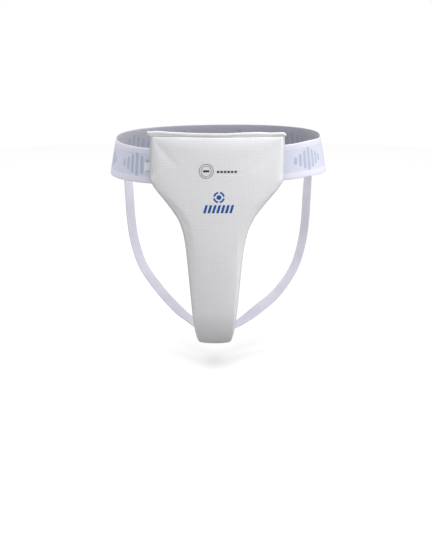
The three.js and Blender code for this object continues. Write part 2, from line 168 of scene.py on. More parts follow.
def smooth_min(a, b, softness):
    return (a + b) / 2 - math.hypot((a - b) / 2, softness)


def lerp(a, b, share):
    return a + (b - a) * share


def through(stops, x):
    """A smooth value between (x, value) stops."""
    if x <= stops[0][0]:
        return stops[0][1]
    for (xa, va), (xb, vb) in zip(stops, stops[1:]):
        if x <= xb:
            return lerp(va, vb, smooth_step((x - xa) / (xb - xa)))
    return stops[-1][1]


def catmull(points, t):
    """Point of a uniform Catmull-Rom spline, t from 0 to 1 over the points."""
    n = len(points) - 1
    k = min(int(t * n), n - 1)
    f = t * n - k
    p0 = points[k - 1] if k > 0 else points[0] * 2 - points[1]
    p1 = points[k]
    p2 = points[k + 1]
    p3 = points[k + 2] if k + 2 <= n else points[n] * 2 - points[n - 1]
    return 0.5 * (
        p1 * 2
        + (p2 - p0) * f
        + (p0 * 2 - p1 * 5 + p2 * 4 - p3) * f ** 2
        + (p1 * 3 - p0 - p2 * 3 + p3) * f ** 3
    )


class Path:
    """A spline resampled so that it can be read by length."""

    def __init__(self, points, samples=400):
        self.points = points
        self.params = [i / samples for i in range(samples + 1)]
        self.places = [catmull(points, t) for t in self.params]
        self.lengths = [0.0]
        for a, b in zip(self.places, self.places[1:]):
            self.lengths.append(self.lengths[-1] + (b - a).length)
        self.length = self.lengths[-1]

    def param(self, length):
        return float(np.interp(length, self.lengths, self.params))

    def at(self, length):
        return catmull(self.points, self.param(length))

    def along(self, length):
        step = 0.5
        ahead = self.at(min(length + step, self.length))
        behind = self.at(max(length - step, 0.0))
        return (ahead - behind).normalized()


def add_uvs(mesh, name, uvs):
    layer = mesh.uv_layers.new(name=name)
    for loop in mesh.loops:
        u, v = uvs[loop.vertex_index]
        layer.data[loop.index].uv = (u * MM, v * MM)


def make_piece(name, points, faces, uvs=None, smooth=True):
    """A mesh object from points in millimetres; uvs holds one (u, v) in millimetres for each point."""
    mesh = bpy.data.meshes.new(name)
    mesh.from_pydata([tuple(p * MM for p in point) for point in points], [], faces)
    if uvs is not None:
        add_uvs(mesh, "cloth", uvs)
    mesh.validate()
    if smooth:
        mesh.polygons.foreach_set("use_smooth", [True] * len(mesh.polygons))
    obj = bpy.data.objects.new(name, mesh)
    bpy.context.scene.collection.objects.link(obj)
    return obj


def grid_faces(columns, rows, start=0, turned=False):
    """Quads over rows of points, each with one point more than it has columns."""
    faces = []
    for j in range(rows):
        for i in range(columns):
            a = start + j * (columns + 1) + i
            b = a + 1
            c = b + columns + 1
            d = a + columns + 1
            faces.append((a, b, c, d) if turned else (a, d, c, b))
    return faces


def tube_faces(steps, count, turned=False):
    """Quads between closed sections of count points, and a cap at both ends."""
    faces = []
    for i in range(steps):
        for k in range(count):
            a = i * count + k
            b = i * count + (k + 1) % count
            faces.append((a, a + count, b + count, b) if turned else (a, b, b + count, a + count))
    first = list(range(count))
    last = [steps * count + k for k in range(count)]
    faces.append(tuple(first) if turned else tuple(reversed(first)))
    faces.append(tuple(reversed(last)) if turned else tuple(last))
    return faces


def finish_piece(obj, look, replaces=()):
    obj.data.materials.clear()
    for each in look if isinstance(look, (list, tuple)) else [look]:
        obj.data.materials.append(each)
    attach(obj, "root")
    if replaces:
        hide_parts(*replaces)
    return obj


def apply_modifiers(obj):
    """Replace the object's mesh by the one its modifiers make."""
    depsgraph = bpy.context.evaluated_depsgraph_get()
    made = bpy.data.meshes.new_from_object(obj.evaluated_get(depsgraph))
    obj.modifiers.clear()
    obj.data = made
    made.polygons.foreach_set("use_smooth", [True] * len(made.polygons))


# ------------------------------------------------------------------ materials


class Look:
    """A material with a Principled shader and short calls for the nodes behind it."""

    def __init__(self, name, roughness, specular=0.5, sheen=0.0, sheen_roughness=0.5):
        self.material = bpy.data.materials.new(name)
        self.material.use_nodes = True
        self.tree = self.material.node_tree
        self.shader = self.tree.nodes["Principled BSDF"]
        self.shader.inputs["Roughness"].default_value = roughness
        self.shader.inputs["Specular IOR Level"].default_value = specular
        self.shader.inputs["Sheen Weight"].default_value = sheen
        self.shader.inputs["Sheen Roughness"].default_value = sheen_roughness

    def node(self, kind, **settings):
        made = self.tree.nodes.new(kind)
        for key, value in settings.items():
            setattr(made, key, value)
        return made

    def link(self, source, target):
        self.tree.links.new(source, target)

    def feed(self, socket, value):
        if isinstance(value, (int, float)):
            socket.default_value = value
        else:
            self.link(value, socket)

    def math(self, operation, a, b=0.0, c=0.0, clamp=False):
        made = self.node("ShaderNodeMath", operation=operation, use_clamp=clamp)
        self.feed(made.inputs[0], a)
        self.feed(made.inputs[1], b)
        self.feed(made.inputs[2], c)
        return made.outputs[0]

    def cloth_uv(self, name="cloth"):
        """The cloth's own coordinates, in millimetres."""
        source = self.node("ShaderNodeUVMap", uv_map=name)
        split = self.node("ShaderNodeSeparateXYZ")
        self.link(source.outputs["UV"], split.inputs[0])
        return self.math("DIVIDE", split.outputs["X"], MM), self.math("DIVIDE", split.outputs["Y"], MM)

    def object_noise(self, scale, detail=4.0, roughness=0.55):
        """Noise in the object's space; scale is in features per metre."""
        source = self.node("ShaderNodeTexCoord")
        made = self.node("ShaderNodeTexNoise")
        made.inputs["Scale"].default_value = scale
        made.inputs["Detail"].default_value = detail
        made.inputs["Roughness"].default_value = roughness
        self.link(source.outputs["Object"], made.inputs["Vector"])
        return made.outputs["Fac"]

    def ramp(self, value, stops):
        """Colour by value; stops are (place, (r, g, b))."""
        made = self.node("ShaderNodeValToRGB")
        elements = made.color_ramp.elements
        while len(elements) < len(stops):
            elements.new(0.5)
        for element, (place, colour) in zip(elements, stops):
            element.position = place
            element.color = (*colour, 1.0)
        self.feed(made.inputs["Fac"], value)
        return made.outputs["Color"]

    def spread(self, value, low, high, to_low=0.0, to_high=1.0):
        made = self.node("ShaderNodeMapRange")
        self.feed(made.inputs["Value"], value)
        made.inputs["From Min"].default_value = low
        made.inputs["From Max"].default_value = high
        made.inputs["To Min"].default_value = to_low
        made.inputs["To Max"].default_value = to_high
        return made.outputs["Result"]

    def mix(self, share, first, second):
        """Colour between two colours, each a socket or (r, g, b)."""
        made = self.node("ShaderNodeMix", data_type="RGBA")
        self.feed(made.inputs[0], share)
        for socket, colour in ((made.inputs[6], first), (made.inputs[7], second)):
            if isinstance(colour, tuple):
                socket.default_value = (*colour, 1.0)
            else:
                self.link(colour, socket)
        return made.outputs[2]

    def wave(self, value, pitch):
        """Sine of a length in millimetres, from -1 to 1."""
        return self.math("SINE", self.math("MULTIPLY", value, 2 * PI / pitch))

    def colour(self, value):
        if isinstance(value, tuple):
            self.shader.inputs["Base Color"].default_value = (*value, 1.0)
        else:
            self.link(value, self.shader.inputs["Base Color"])

    def roughness(self, value):
        self.link(value, self.shader.inputs["Roughness"])

    def bump(self, height, depth_mm, normal=None):
        made = self.node("ShaderNodeBump")
        made.inputs["Strength"].default_value = 1.0
        made.inputs["Distance"].default_value = depth_mm * MM
        self.link(height, made.inputs["Height"])
        if normal is not None:
            self.link(normal, made.inputs["Normal"])
        return made.outputs["Normal"]

    def surface(self, normal):
        self.link(normal, self.shader.inputs["Normal"])
        return self.material


def darker(colour, share):
    return tuple(part * share for part in colour)


DOT_PITCH = 3.35
DOT_DEPTH = 0.2
# share of the shade colour for the painted shade on the pad's sides
RIM_PAINTED_SHADE = 0.72
LEATHER_ROUGHNESS = 0.47


def dots(look):
    """The embossing, staggered rows of dots: 1 on a raised dot, 0 between."""
    u, v = look.cloth_uv()
    across = look.wave(u, DOT_PITCH)
    down = look.wave(v, DOT_PITCH)
    staggered = look.math("MULTIPLY", across, down)
    square = look.math("MULTIPLY", look.math("ADD", across, down), 0.35)
    return look.spread(look.math("ADD", staggered, square), -0.2, 1.1)


def leather_look(name, colour, shade):
    """Embossed synthetic leather: dots, fine grain, faint cloudy marks, and painted shade between the
    dots and on the pad's sides.
    """
    look = Look(name, LEATHER_ROUGHNESS, specular=0.45)
    cloudy = look.object_noise(9.0, 5.0)
    fine = look.object_noise(900.0, 2.0)
    base = look.ramp(cloudy, ((0.36, shade), (0.62, colour)))
    rough = look.spread(cloudy, 0.3, 0.7, LEATHER_ROUGHNESS - 0.05, LEATHER_ROUGHNESS + 0.07)
    look.roughness(rough)
    raised = dots(look)
    # painted shade: the hollows between the dots are darkened
    base = look.mix(look.spread(raised, 0.0, 1.0, 0.5, 0.0), base, darker(shade, 0.93))
    # painted shade: the pad's sides are darkened, patchily
    past_edge = look.cloth_uv("rim")[0]
    patchy = look.spread(cloudy, 0.2, 0.8, 0.7, 1.0)
    rim_painted_shade = look.math("MULTIPLY", look.spread(past_edge, -1.5, 3.5), patchy)
    look.colour(look.mix(rim_painted_shade, base, darker(shade, RIM_PAINTED_SHADE)))
    return look.surface(look.bump(raised, DOT_DEPTH, look.bump(fine, 0.05)))


KNIT_PITCH = 1.3
KNIT_FLATNESS = 0.8      # a stitch is this much shorter than it is wide


def knit_look(name, colour, shade):
    """Knitted lining: small staggered stitches, with painted shade between them."""
    look = Look(name, 0.92, specular=0.25, sheen=0.25, sheen_roughness=0.4)
    u, v = look.cloth_uv()
    column = look.wave(u, KNIT_PITCH)
    row = look.wave(v, KNIT_PITCH * KNIT_FLATNESS)
    loops = look.math("MULTIPLY", column, row)
    height = look.spread(loops, -1.0, 1.0)
    cloudy = look.object_noise(14.0)
    base = look.ramp(cloudy, ((0.35, shade), (0.65, colour)))
    # painted shade: darker between the knitted loops
    look.colour(look.mix(look.spread(loops, -1.0, 0.2, 0.35, 0.0), base, darker(shade, 0.8)))
    return look.surface(look.bump(height, 0.28))


def foam_look(name, colour, shade, cell):
    """Foam: small cells and a slightly uneven colour."""
    look = Look(name, 0.95, specular=0.2)
    source = look.node("ShaderNodeTexCoord")
    cells = look.node("ShaderNodeTexVoronoi")
    cells.inputs["Scale"].default_value = 1000.0 / cell
    look.link(source.outputs["Object"], cells.inputs["Vector"])
    cloudy = look.object_noise(25.0)
    look.colour(look.ramp(cloudy, ((0.35, shade), (0.65, colour))))
    return look.surface(look.bump(cells.outputs["Distance"], 0.3))


def plate_look():
    """Milky polyethylene with faint rolling marks."""
    look = Look("polyethylene", 0.38, specular=0.5)
    marks = look.object_noise(60.0, 6.0, 0.7)
    look.colour(look.ramp(marks, ((0.3, (0.80, 0.80, 0.75)), (0.7, (0.87, 0.86, 0.80)))))
    look.roughness(look.spread(marks, 0.3, 0.7, 0.32, 0.46))
    return look.surface(look.bump(marks, 0.08))


THREAD_TWIST = 0.7


def thread_look():
    """Sewing thread: two plies twisted together, with painted shade in the twist's grooves."""
    look = Look("sewing_thread", 0.7, specular=0.3, sheen=0.2)
    u, v = look.cloth_uv()
    twist = look.spread(look.wave(look.math("ADD", u, v), THREAD_TWIST), -1, 1)
    # painted shade: the thread is darker where the twist dips
    look.colour(look.ramp(twist, ((0.0, (0.66, 0.67, 0.69)), (1.0, (0.88, 0.88, 0.88)))))
    return look.surface(look.bump(twist, 0.06))


LABEL_WEFT = 0.45


def label_look():
    """A blank satin label."""
    look = Look("woven_label", 0.6, specular=0.4, sheen=0.2)
    v = look.cloth_uv()[1]
    weft = look.spread(look.wave(v, LABEL_WEFT), -1, 1)
    grain = look.object_noise(300.0)
    look.colour(look.ramp(grain, ((0.3, (0.88, 0.88, 0.93)), (0.7, (0.94, 0.94, 0.98)))))
    return look.surface(look.bump(weft, 0.05))


def ink_look(name, colour, shade):
    """Transfer print that follows the embossed dots."""
    look = Look(name, 0.42, specular=0.4)
    patchy = look.object_noise(220.0, 3.0)
    look.colour(look.ramp(patchy, ((0.35, shade), (0.6, colour))))
    return look.surface(look.bump(dots(look), DOT_DEPTH))


MOTIF_BARS = 7
MOTIF_STEP = 8.6
MOTIF_BAR = 5.4
MOTIF_TALL = 33.0
MOTIF_FALL = 7.4
MOTIF_BLUR = 0.25


def motif(look, u, v, pitch, phase):
    """A tone-on-tone motif: upright round-ended bars, tallest in the middle, repeated along the band."""
    shifted = look.math("ADD", u, phase)
    turn = look.math("DIVIDE", shifted, pitch)
    place = look.math("MULTIPLY", look.math("SUBTRACT", turn, look.math("ROUND", turn)), pitch)
    bar = look.math("ROUND", look.math("DIVIDE", place, MOTIF_STEP))
    outward = look.math("ABSOLUTE", bar)
    within = look.math("SUBTRACT", place, look.math("MULTIPLY", bar, MOTIF_STEP))
    half = look.math("MULTIPLY_ADD", outward, -MOTIF_FALL / 2, (MOTIF_TALL - MOTIF_BAR) / 2)
    past = look.math("MAXIMUM", look.math("SUBTRACT", look.math("ABSOLUTE", v), half), 0.0)
    square = look.math("ADD", look.math("POWER", within, 2.0), look.math("POWER", past, 2.0))
    away = look.math("SQRT", square)
    inside = look.spread(away, MOTIF_BAR / 2 + MOTIF_BLUR, MOTIF_BAR / 2 - MOTIF_BLUR)
    counted = look.math("LESS_THAN", outward, MOTIF_BARS / 2)
    return look.math("MULTIPLY", inside, counted, clamp=True)


CORD_DEPTH = 0.16
WEFT_DEPTH = 0.05
FIGURE_DEPTH = 0.12
BAND_CORD = 1.25
BAND_WEFT = 0.9
BAND_WEFT_LEAN = 0.3
STRAP_CORD = 1.5
STRAP_WEFT = 1.0
STRAP_WEFT_LEAN = 0.35
BORDER_BLUR = 0.3
# lengths along a strap over which its painted light gives way to painted shade
PAINTED_SHADE_FROM = 60
PAINTED_SHADE_TO = 260


def weave(look, u, v, cord, weft, lean):
    """Cords along an elastic, crossed by fine weft: the cords' wave and the bumped normal."""
    cords = look.wave(v, cord)
    crossing = look.wave(look.math("ADD", u, look.math("MULTIPLY", cords, lean)), weft)
    normal = look.bump(look.spread(cords, -1, 1), CORD_DEPTH)
    return cords, look.bump(look.spread(crossing, -1, 1), WEFT_DEPTH, normal)


def elastic_look(name, panel, border, figure, pitch, phase, centre):
    """Woven elastic with plain borders, a motif and painted shade between the cords."""
    look = Look(name, 0.88, specular=0.25, sheen=0.3, sheen_roughness=0.45)
    u, v = look.cloth_uv()
    cords, normal = weave(look, u, v, BAND_CORD, BAND_WEFT, BAND_WEFT_LEAN)
    high = BAND_WIDTH / 2 - UPPER_BORDER
    low = LOWER_BORDER - BAND_WIDTH / 2
    upper = look.spread(v, high - BORDER_BLUR, high + BORDER_BLUR)
    lower = look.spread(v, low + BORDER_BLUR, low - BORDER_BLUR)
    figured = motif(look, u, look.math("SUBTRACT", v, centre), pitch, phase)
    cloudy = look.object_noise(35.0)
    base = look.ramp(cloudy, ((0.3, darker(panel, 0.965)), (0.7, panel)))
    base = look.mix(figured, base, figure)
    base = look.mix(look.math("MAXIMUM", upper, lower), base, border)
    # painted shade: darker between the cords
    look.colour(look.mix(look.spread(cords, -1.0, -0.2, 0.22, 0.0), base, darker(panel, 0.72)))
    return look.surface(look.bump(figured, -FIGURE_DEPTH, normal))


def strap_look(name, colour, shade):
    """Narrow elastic with painted light and shade: lighter near the band, where it hangs in shade, darker
    towards the tongue, where light falls from above.
    """
    look = Look(name, 0.88, specular=0.25, sheen=0.3, sheen_roughness=0.45)
    u, v = look.cloth_uv()
    cords, normal = weave(look, u, v, STRAP_CORD, STRAP_WEFT, STRAP_WEFT_LEAN)
    cloudy = look.spread(look.object_noise(40.0), 0.3, 0.7, -0.1, 0.1)
    # painted light and shade: lighter near the band, darker towards the tongue
    painted_shade_share = look.math("ADD", look.spread(u, PAINTED_SHADE_FROM, PAINTED_SHADE_TO), cloudy, clamp=True)
    base = look.mix(painted_shade_share, colour, shade)
    # painted shade: darker between the cords
    look.colour(look.mix(look.spread(cords, -1.0, -0.2, 0.3, 0.0), base, darker(shade, 0.7)))
    return look.surface(normal)


# ------------------------------------------------------------------ the shield's surface


def centre_line(s):
    """(y, z, angle) of the middle of the front face at length s."""
    y = SHIELD_TOP_Y
    z = SHIELD_TOP_Z
    angle = START_ANGLE
    left = s
    for index, (length, turn) in enumerate(CENTRE_LINE):
        last = index == len(CENTRE_LINE) - 1
        run = left if last else min(left, length)
        bend = turn / length
        after = angle + run * bend
        if bend == 0:
            y += run * math.sin(angle)
            z -= run * math.cos(angle)
        else:
            y += (math.cos(angle) - math.cos(after)) / bend
            z -= (math.sin(after) - math.sin(angle)) / bend
        angle = after
        left -= run
        if left <= 0:
            break
    return y, z, angle


def lean(s):
    return LEAN_AT_TOP + LEAN_OF_TONGUE * smooth_step(s / LEAN_LENGTH)


def shield_point(x, s, depth):
    y, z, angle = centre_line(s)
    back = depth + x * x / (2 * WRAP_RADIUS)
    return Vector((x + lean(s), y + back * math.cos(angle), z + back * math.sin(angle)))


def inward(s):
    """Direction from the face towards the wearer."""
    angle = centre_line(s)[2]
    return Vector((0, math.cos(angle), math.sin(angle)))


def outline_half_width(s):
    tongue = TONGUE_HALF_WIDTH + TONGUE_TAPER * (FLARE_END - s)
    if s < FLARE_START:
        flared = tongue + FLARE_SIZE + (FLARE_START - s)
    else:
        flared = tongue + FLARE_SIZE * clamp01((FLARE_END - s) / (FLARE_END - FLARE_START)) ** FLARE_POWER
    return smooth_min(SHIELD_HALF_WIDTH, flared, CORNER_SOFTNESS) + through(FULLNESS, s)


def inset_half_width(s, inset):
    half = outline_half_width(s) - inset
    radius = max(LEAST_END_RADIUS, TONGUE_END_RADIUS - inset)
    into = s - (SHIELD_LENGTH - inset - radius)
    if into <= 0:
        return half
    return half - radius + math.sqrt(max(0.0, radius ** 2 - into ** 2))


def depth_scale(s):
    share = smooth_step((s - TAPER_START) / (SHIELD_LENGTH - TAPER_START))
    return 1 - (1 - TONGUE_DEPTH_SCALE) * share


# ------------------------------------------------------------------ the pad, as one closed skin

PAD_COLUMNS = 56
PAD_CROWDING = 0.42      # half turns of the sine that crowds the columns towards the sides
PAD_ROW_STEP = 3.2
PAD_END_ROWS = 6
CROWN_POWER = 3
TOP_POWER = 2.2
FAR_FROM_EDGE = -20.0    # stands in the rim coordinates for the whole back
# the side of the pad, as (out from the face's edge, depth below the edge) from front to back
SEAM_RING = 2            # along the top the lining takes over here
PAD_SIDE = (
    (0.4, 0.8),
    (0.9, 2.2),
    (1.4, 4.4),
    (1.8, 6.8),
    (2.05, 9.4),
    (2.1, 11.6),
    (1.8, 12.9),
    (0.9, 13.6),
    (-0.4, 13.9),
    (-2.0, 13.9),
)


def pad_rows(start, inset):
    """Stations along the pad with closer ones round the tongue's end; the same count for any inset."""
    round_start = SHIELD_LENGTH - TONGUE_END_RADIUS
    even = round((round_start - SEAM_HEIGHT) / PAD_ROW_STEP)
    rows = [lerp(start, round_start, i / even) for i in range(even)]
    reach = SHIELD_LENGTH - inset - round_start
    rows += [round_start + reach * math.sin(i / PAD_END_ROWS * PI / 2) for i in range(PAD_END_ROWS + 1)]
    return rows


def pad_grid(start, inset):
    """Rows of (x, s) over one face of the pad."""
    grid = []
    for s in pad_rows(start, inset):
        half = inset_half_width(s, inset)
        row = []
        for i in range(PAD_COLUMNS + 1):
            even = 2 * i / PAD_COLUMNS - 1
            share = math.sin(even * PI * PAD_CROWDING) / math.sin(PI * PAD_CROWDING)
            row.append((share * half, s))
        grid.append(row)
    return grid


def face_depth(x, s):
    """Depth of the padded face: crowned, and rounded at its edge."""
    half = inset_half_width(s, SPLAY)
    end = SHIELD_LENGTH - SPLAY
    corner = TONGUE_END_RADIUS - SPLAY
    to_side = half - abs(x)
    to_edge = min(to_side, end - s)
    straight = outline_half_width(s) - SPLAY
    if s > end - corner and abs(x) > straight - corner:
        to_edge = corner - math.hypot(abs(x) - (straight - corner), s - (end - corner))
    into = max(0.0, EDGE_ROUND - max(0.0, to_edge))
    rounded = EDGE_ROUND - math.sqrt(max(0.0, EDGE_ROUND ** 2 - into ** 2))
    crown = CROWN * (abs(x) / max(half, 1.0)) ** CROWN_POWER
    top = TOP_DROP * (1 - clamp01((s - SEAM_HEIGHT) / TOP_RISE)) ** TOP_POWER
    return math.hypot(rounded + crown, top)


def perimeter(rows, columns):
    """Grid indices round the edge: down the left, along the end, up the right, back along the top."""
    loop = [(row, 0) for row in range(rows)]
    loop += [(rows - 1, column) for column in range(1, columns)]
    loop += [(row, columns - 1) for row in range(rows - 2, -1, -1)]
    loop += [(0, column) for column in range(columns - 2, 0, -1)]
    return loop


class Pad:
    """The pad's skin: points, cloth coordinates, and faces sorted into cover and lining."""

    def __init__(self):
        front = pad_grid(SEAM_HEIGHT, SPLAY)
        back = pad_grid(SEAM_HEIGHT + FOLD_OVER, SPLAY + FOLD_OVER)
        self.rows = len(front)
        self.columns = len(front[0])
        self.places = []
        self.flat = []
        self.past_edge = []
        self.cover = []
        self.lining = []
        for row in front:
            for x, s in row:
                from_edge = min(inset_half_width(s, SPLAY) - abs(x), SHIELD_LENGTH - SPLAY - s)
                self.add(x, s, face_depth(x, s), (x, s), -from_edge)
        self.back_start = self.rows * self.columns
        for row in back:
            for x, s in row:
                self.add(x, s, BACK_DEPTH, (x, s))
        self.cover += grid_faces(self.columns - 1, self.rows - 1)
        self.lining += grid_faces(self.columns - 1, self.rows - 1, self.back_start, True)
        self.add_sides(front)

    def add(self, x, s, depth, flat, past_edge=FAR_FROM_EDGE):
        self.places.append((x, s, depth))
        self.flat.append(flat)
        self.past_edge.append((past_edge, 0.0))
        return len(self.places) - 1

    def add_sides(self, front):
        loop = perimeter(self.rows, self.columns)
        count = len(loop)
        flat = [front[row][column] for row, column in loop]
        self.loop = loop
        self.outwards = []
        for k in range(count):
            ahead = flat[(k + 1) % count]
            behind = flat[k - 1]
            du = ahead[0] - behind[0]
            dv = ahead[1] - behind[1]
            size = math.hypot(du, dv)
            self.outwards.append((-dv / size, du / size))
        first = [row * self.columns + column for row, column in loop]
        last = [self.back_start + index for index in first]
        rings = [first]
        run = 0.0
        before = (0.0, 0.0)
        for out, deep in PAD_SIDE:
            run += math.hypot(out - before[0], deep - before[1])
            before = (out, deep)
            ring = []
            for k in range(count):
                x, s = flat[k]
                nx, ns = self.outwards[k]
                edge = face_depth(x, s)
                depth = lerp(edge, BACK_DEPTH, deep / PAD_SIDE[-1][1])
                flat_place = (x + nx * run, s + ns * run)
                ring.append(self.add(x + nx * out, s + ns * out, depth, flat_place, run))
            rings.append(ring)
        self.seam_ring = rings[SEAM_RING]
        self.fold_ring = rings[-1]
        rings.append(last)
        top_start = 2 * self.rows + self.columns - 3
        for index, (a_ring, b_ring) in enumerate(zip(rings, rings[1:])):
            for k in range(count):
                n = (k + 1) % count
                face = (a_ring[k], b_ring[k], b_ring[n], a_ring[n])
                on_top = k >= top_start
                into = self.lining if on_top and index >= SEAM_RING else self.cover
                into.append(face)
        self.rings = rings
        self.top_start = top_start

    def points(self):
        return [shield_point(x, s, depth * depth_scale(s)) for x, s, depth in self.places]


SWELL_PRESSURE = 4.0
SWELL_FRAMES = 20


def swell(points, faces, pinned):
    """Cloth simulation of the closed skin under pressure, with each point's travel capped."""
    mesh = bpy.data.meshes.new("pad_simulation")
    mesh.from_pydata([tuple(p * MM) for p in points], [], faces)
    obj = bpy.data.objects.new("pad_simulation", mesh)
    scene = bpy.context.scene
    scene.collection.objects.link(obj)
    group = obj.vertex_groups.new(name="seams")
    group.add(sorted(pinned), 1.0, "REPLACE")
    cloth = obj.modifiers.new("Cloth", "CLOTH")
    settings = cloth.settings
    settings.quality = 6
    settings.mass = 0.2
    settings.tension_stiffness = 25
    settings.compression_stiffness = 25
    settings.shear_stiffness = 10
    settings.bending_stiffness = 2.5
    settings.use_pressure = True
    settings.uniform_pressure_force = SWELL_PRESSURE
    settings.vertex_group_mass = "seams"
    settings.effector_weights.gravity = 0
    cloth.collision_settings.use_self_collision = False
    cloth.point_cache.frame_start = 1
    cloth.point_cache.frame_end = SWELL_FRAMES
    for number in range(1, SWELL_FRAMES + 1):
        scene.frame_set(number)
    depsgraph = bpy.context.evaluated_depsgraph_get()
    moved = [v.co / MM for v in obj.evaluated_get(depsgraph).data.vertices]
    scene.frame_set(1)
    bpy.data.objects.remove(obj)
    capped = []
    for before, after in zip(points, moved):
        step = after - before
        # a soft cap, so that the whole face keeps its crown
        size = step.length
        limit = SWELL_LIMIT * math.tanh(size / SWELL_LIMIT)
        capped.append(before + step * (limit / size if size > 1e-9 else 0.0))
    return capped


PAD = Pad()


def pad_points():
    points = PAD.points()
    top_seam = PAD.seam_ring[PAD.top_start:]
    pinned = {*PAD.fold_ring, *PAD.rings[-1], *top_seam}
    return swell(points, PAD.cover + PAD.lining, pinned)


PAD_POINTS = pad_points()


def part_of_pad(name, faces):
    """The pad's points that these faces use, as an object of its own."""
    used = sorted({index for face in faces for index in face})
    number = {index: i for i, index in enumerate(used)}
    points = [PAD_POINTS[index] for index in used]
    made = [tuple(number[index] for index in face) for face in faces]
    obj = make_piece(name, points, made, [PAD.flat[index] for index in used])
    add_uvs(obj.data, "rim", [PAD.past_edge[index] for index in used])
    return obj


def thicken(obj, thickness):
    solid = obj.modifiers.new("thickness", "SOLIDIFY")
    solid.thickness = thickness * MM
    solid.offset = -1
    solid.use_quality_normals = True
    finer = obj.modifiers.new("finer", "SUBSURF")
    finer.levels = 1
    finer.render_levels = 1
    apply_modifiers(obj)


# ------------------------------------------------------------------ stitches

THREAD_RADIUS = 0.34
FINE_THREAD_RADIUS = 0.32
THREAD_SIDES = 8
STITCH_FILL = 0.78       # share of the pitch that a stitch shows; the rest is in the cloth
# (share of the stitch's length, share of its radius, lift in radii) from end to end
STITCH_STATIONS = (
    (-0.5, 0.25, -0.6),
    (-0.42, 0.85, -0.1),
    (-0.2, 1.0, 0.25),
    (0.2, 1.0, 0.25),
    (0.42, 0.85, -0.1),
    (0.5, 0.25, -0.6),
)


def stitch(points, faces, uvs, middle, along, up, length, radius):
    """One stitch: a short round-ended run of thread, sunk at both ends."""
    side = along.cross(up).normalized()
    start = len(points)
    for share, wide, lift in STITCH_STATIONS:
        for k in range(THREAD_SIDES):
            angle = 2 * PI * k / THREAD_SIDES
            offset = side * math.cos(angle) * radius * wide
            offset += up * (math.sin(angle) * radius * wide + lift * radius)
            points.append(middle + along * (share * length) + offset)
            uvs.append((share * length, k * radius * 2 * PI / THREAD_SIDES))
    for face in tube_faces(len(STITCH_STATIONS) - 1, THREAD_SIDES):
        faces.append(tuple(start + corner for corner in face))


def stitch_row(name, runs, pitch, node, radius=THREAD_RADIUS, fill=STITCH_FILL):
    """Stitches along one or more runs, each a list of points and a list of up directions."""
    points = []
    faces = []
    uvs = []
    for run, ups in runs:
        lengths = [0.0]
        for a, b in zip(run, run[1:]):
            lengths.append(lengths[-1] + (b - a).length)
        count = max(1, round(lengths[-1] / pitch))
        step = lengths[-1] / count

        def at(length, values):
            k = int(np.searchsorted(lengths, length, side="right")) - 1
            k = max(0, min(k, len(run) - 2))
            share = (length - lengths[k]) / max(lengths[k + 1] - lengths[k], 1e-9)
            return values[k].lerp(values[k + 1], clamp01(share))

        for i in range(count):
            middle = at((i + 0.5) * step, run)
            before = at((i + 0.2) * step, run)
            after = at((i + 0.8) * step, run)
            up = at((i + 0.5) * step, ups).normalized()
            along = (after - before).normalized()
            stitch(points, faces, uvs, middle, along, up, step * fill, radius)
    obj = make_piece(name, points, faces, uvs)
    return finish_piece(obj, THREAD, [node])


# ------------------------------------------------------------------ shield pieces

STITCH_LINE = 3.6
TOP_STITCH_PITCH = 2.5


def binding_look():
    """The leather of the binding strip, with a row of needle holes pressed in along the seam, and painted
    shade in the seam's groove and holes.
    """
    look = Look("binding_leather", 0.5, specular=0.4)
    cloudy = look.object_noise(16.0, 5.0)
    fine = look.object_noise(800.0, 3.0)
    u, v = look.cloth_uv()
    off_line = look.math("ABSOLUTE", look.math("SUBTRACT", v, STITCH_LINE))
    groove = look.spread(off_line, 0.9, 0.2)
    pricked = look.spread(look.wave(u, TOP_STITCH_PITCH), -0.2, 0.9)
    holes = look.math("MULTIPLY", groove, pricked)
    base = look.ramp(cloudy, ((0.36, (0.80, 0.805, 0.80)), (0.62, (0.86, 0.865, 0.86))))
    # painted shade: the groove along the seam and the needle holes are darkened
    base = look.mix(look.math("MULTIPLY", groove, 0.14), base, (0.52, 0.52, 0.52))
    look.colour(look.mix(look.math("MULTIPLY", holes, 0.45), base, (0.34, 0.34, 0.34)))
    normal = look.bump(fine, 0.06)
    normal = look.bump(groove, -0.5, normal)
    return look.surface(look.bump(holes, -0.4, normal))


LEATHER = leather_look("embossed_leather", (0.81, 0.81, 0.832), (0.77, 0.77, 0.797))
BINDING = binding_look()
KNIT = knit_look("knitted_lining", (0.80, 0.80, 0.84), (0.74, 0.74, 0.79))
THREAD = thread_look()


DENSE_CELL = 0.5
SOFT_CELL = 0.9
# front and back of each layer in depth below the face, and its inset from the pad's edge
OUTER_FOAM = (2.0, 8.6, 1.4)
PLATE = (9.2, 11.2, 3.5)
COMFORT_FOAM = (11.8, 16.8, 0.6)


def make_cover():
    obj = part_of_pad("cover_skin", PAD.cover)
    thicken(obj, COVER_THICKNESS)
    finish_piece(obj, LEATHER, ["front_cover"])
    return obj


def make_lining():
    obj = part_of_pad("lining_panel", PAD.lining)
    thicken(obj, LINING_THICKNESS)
    finish_piece(obj, KNIT, ["back_lining"])
    return obj


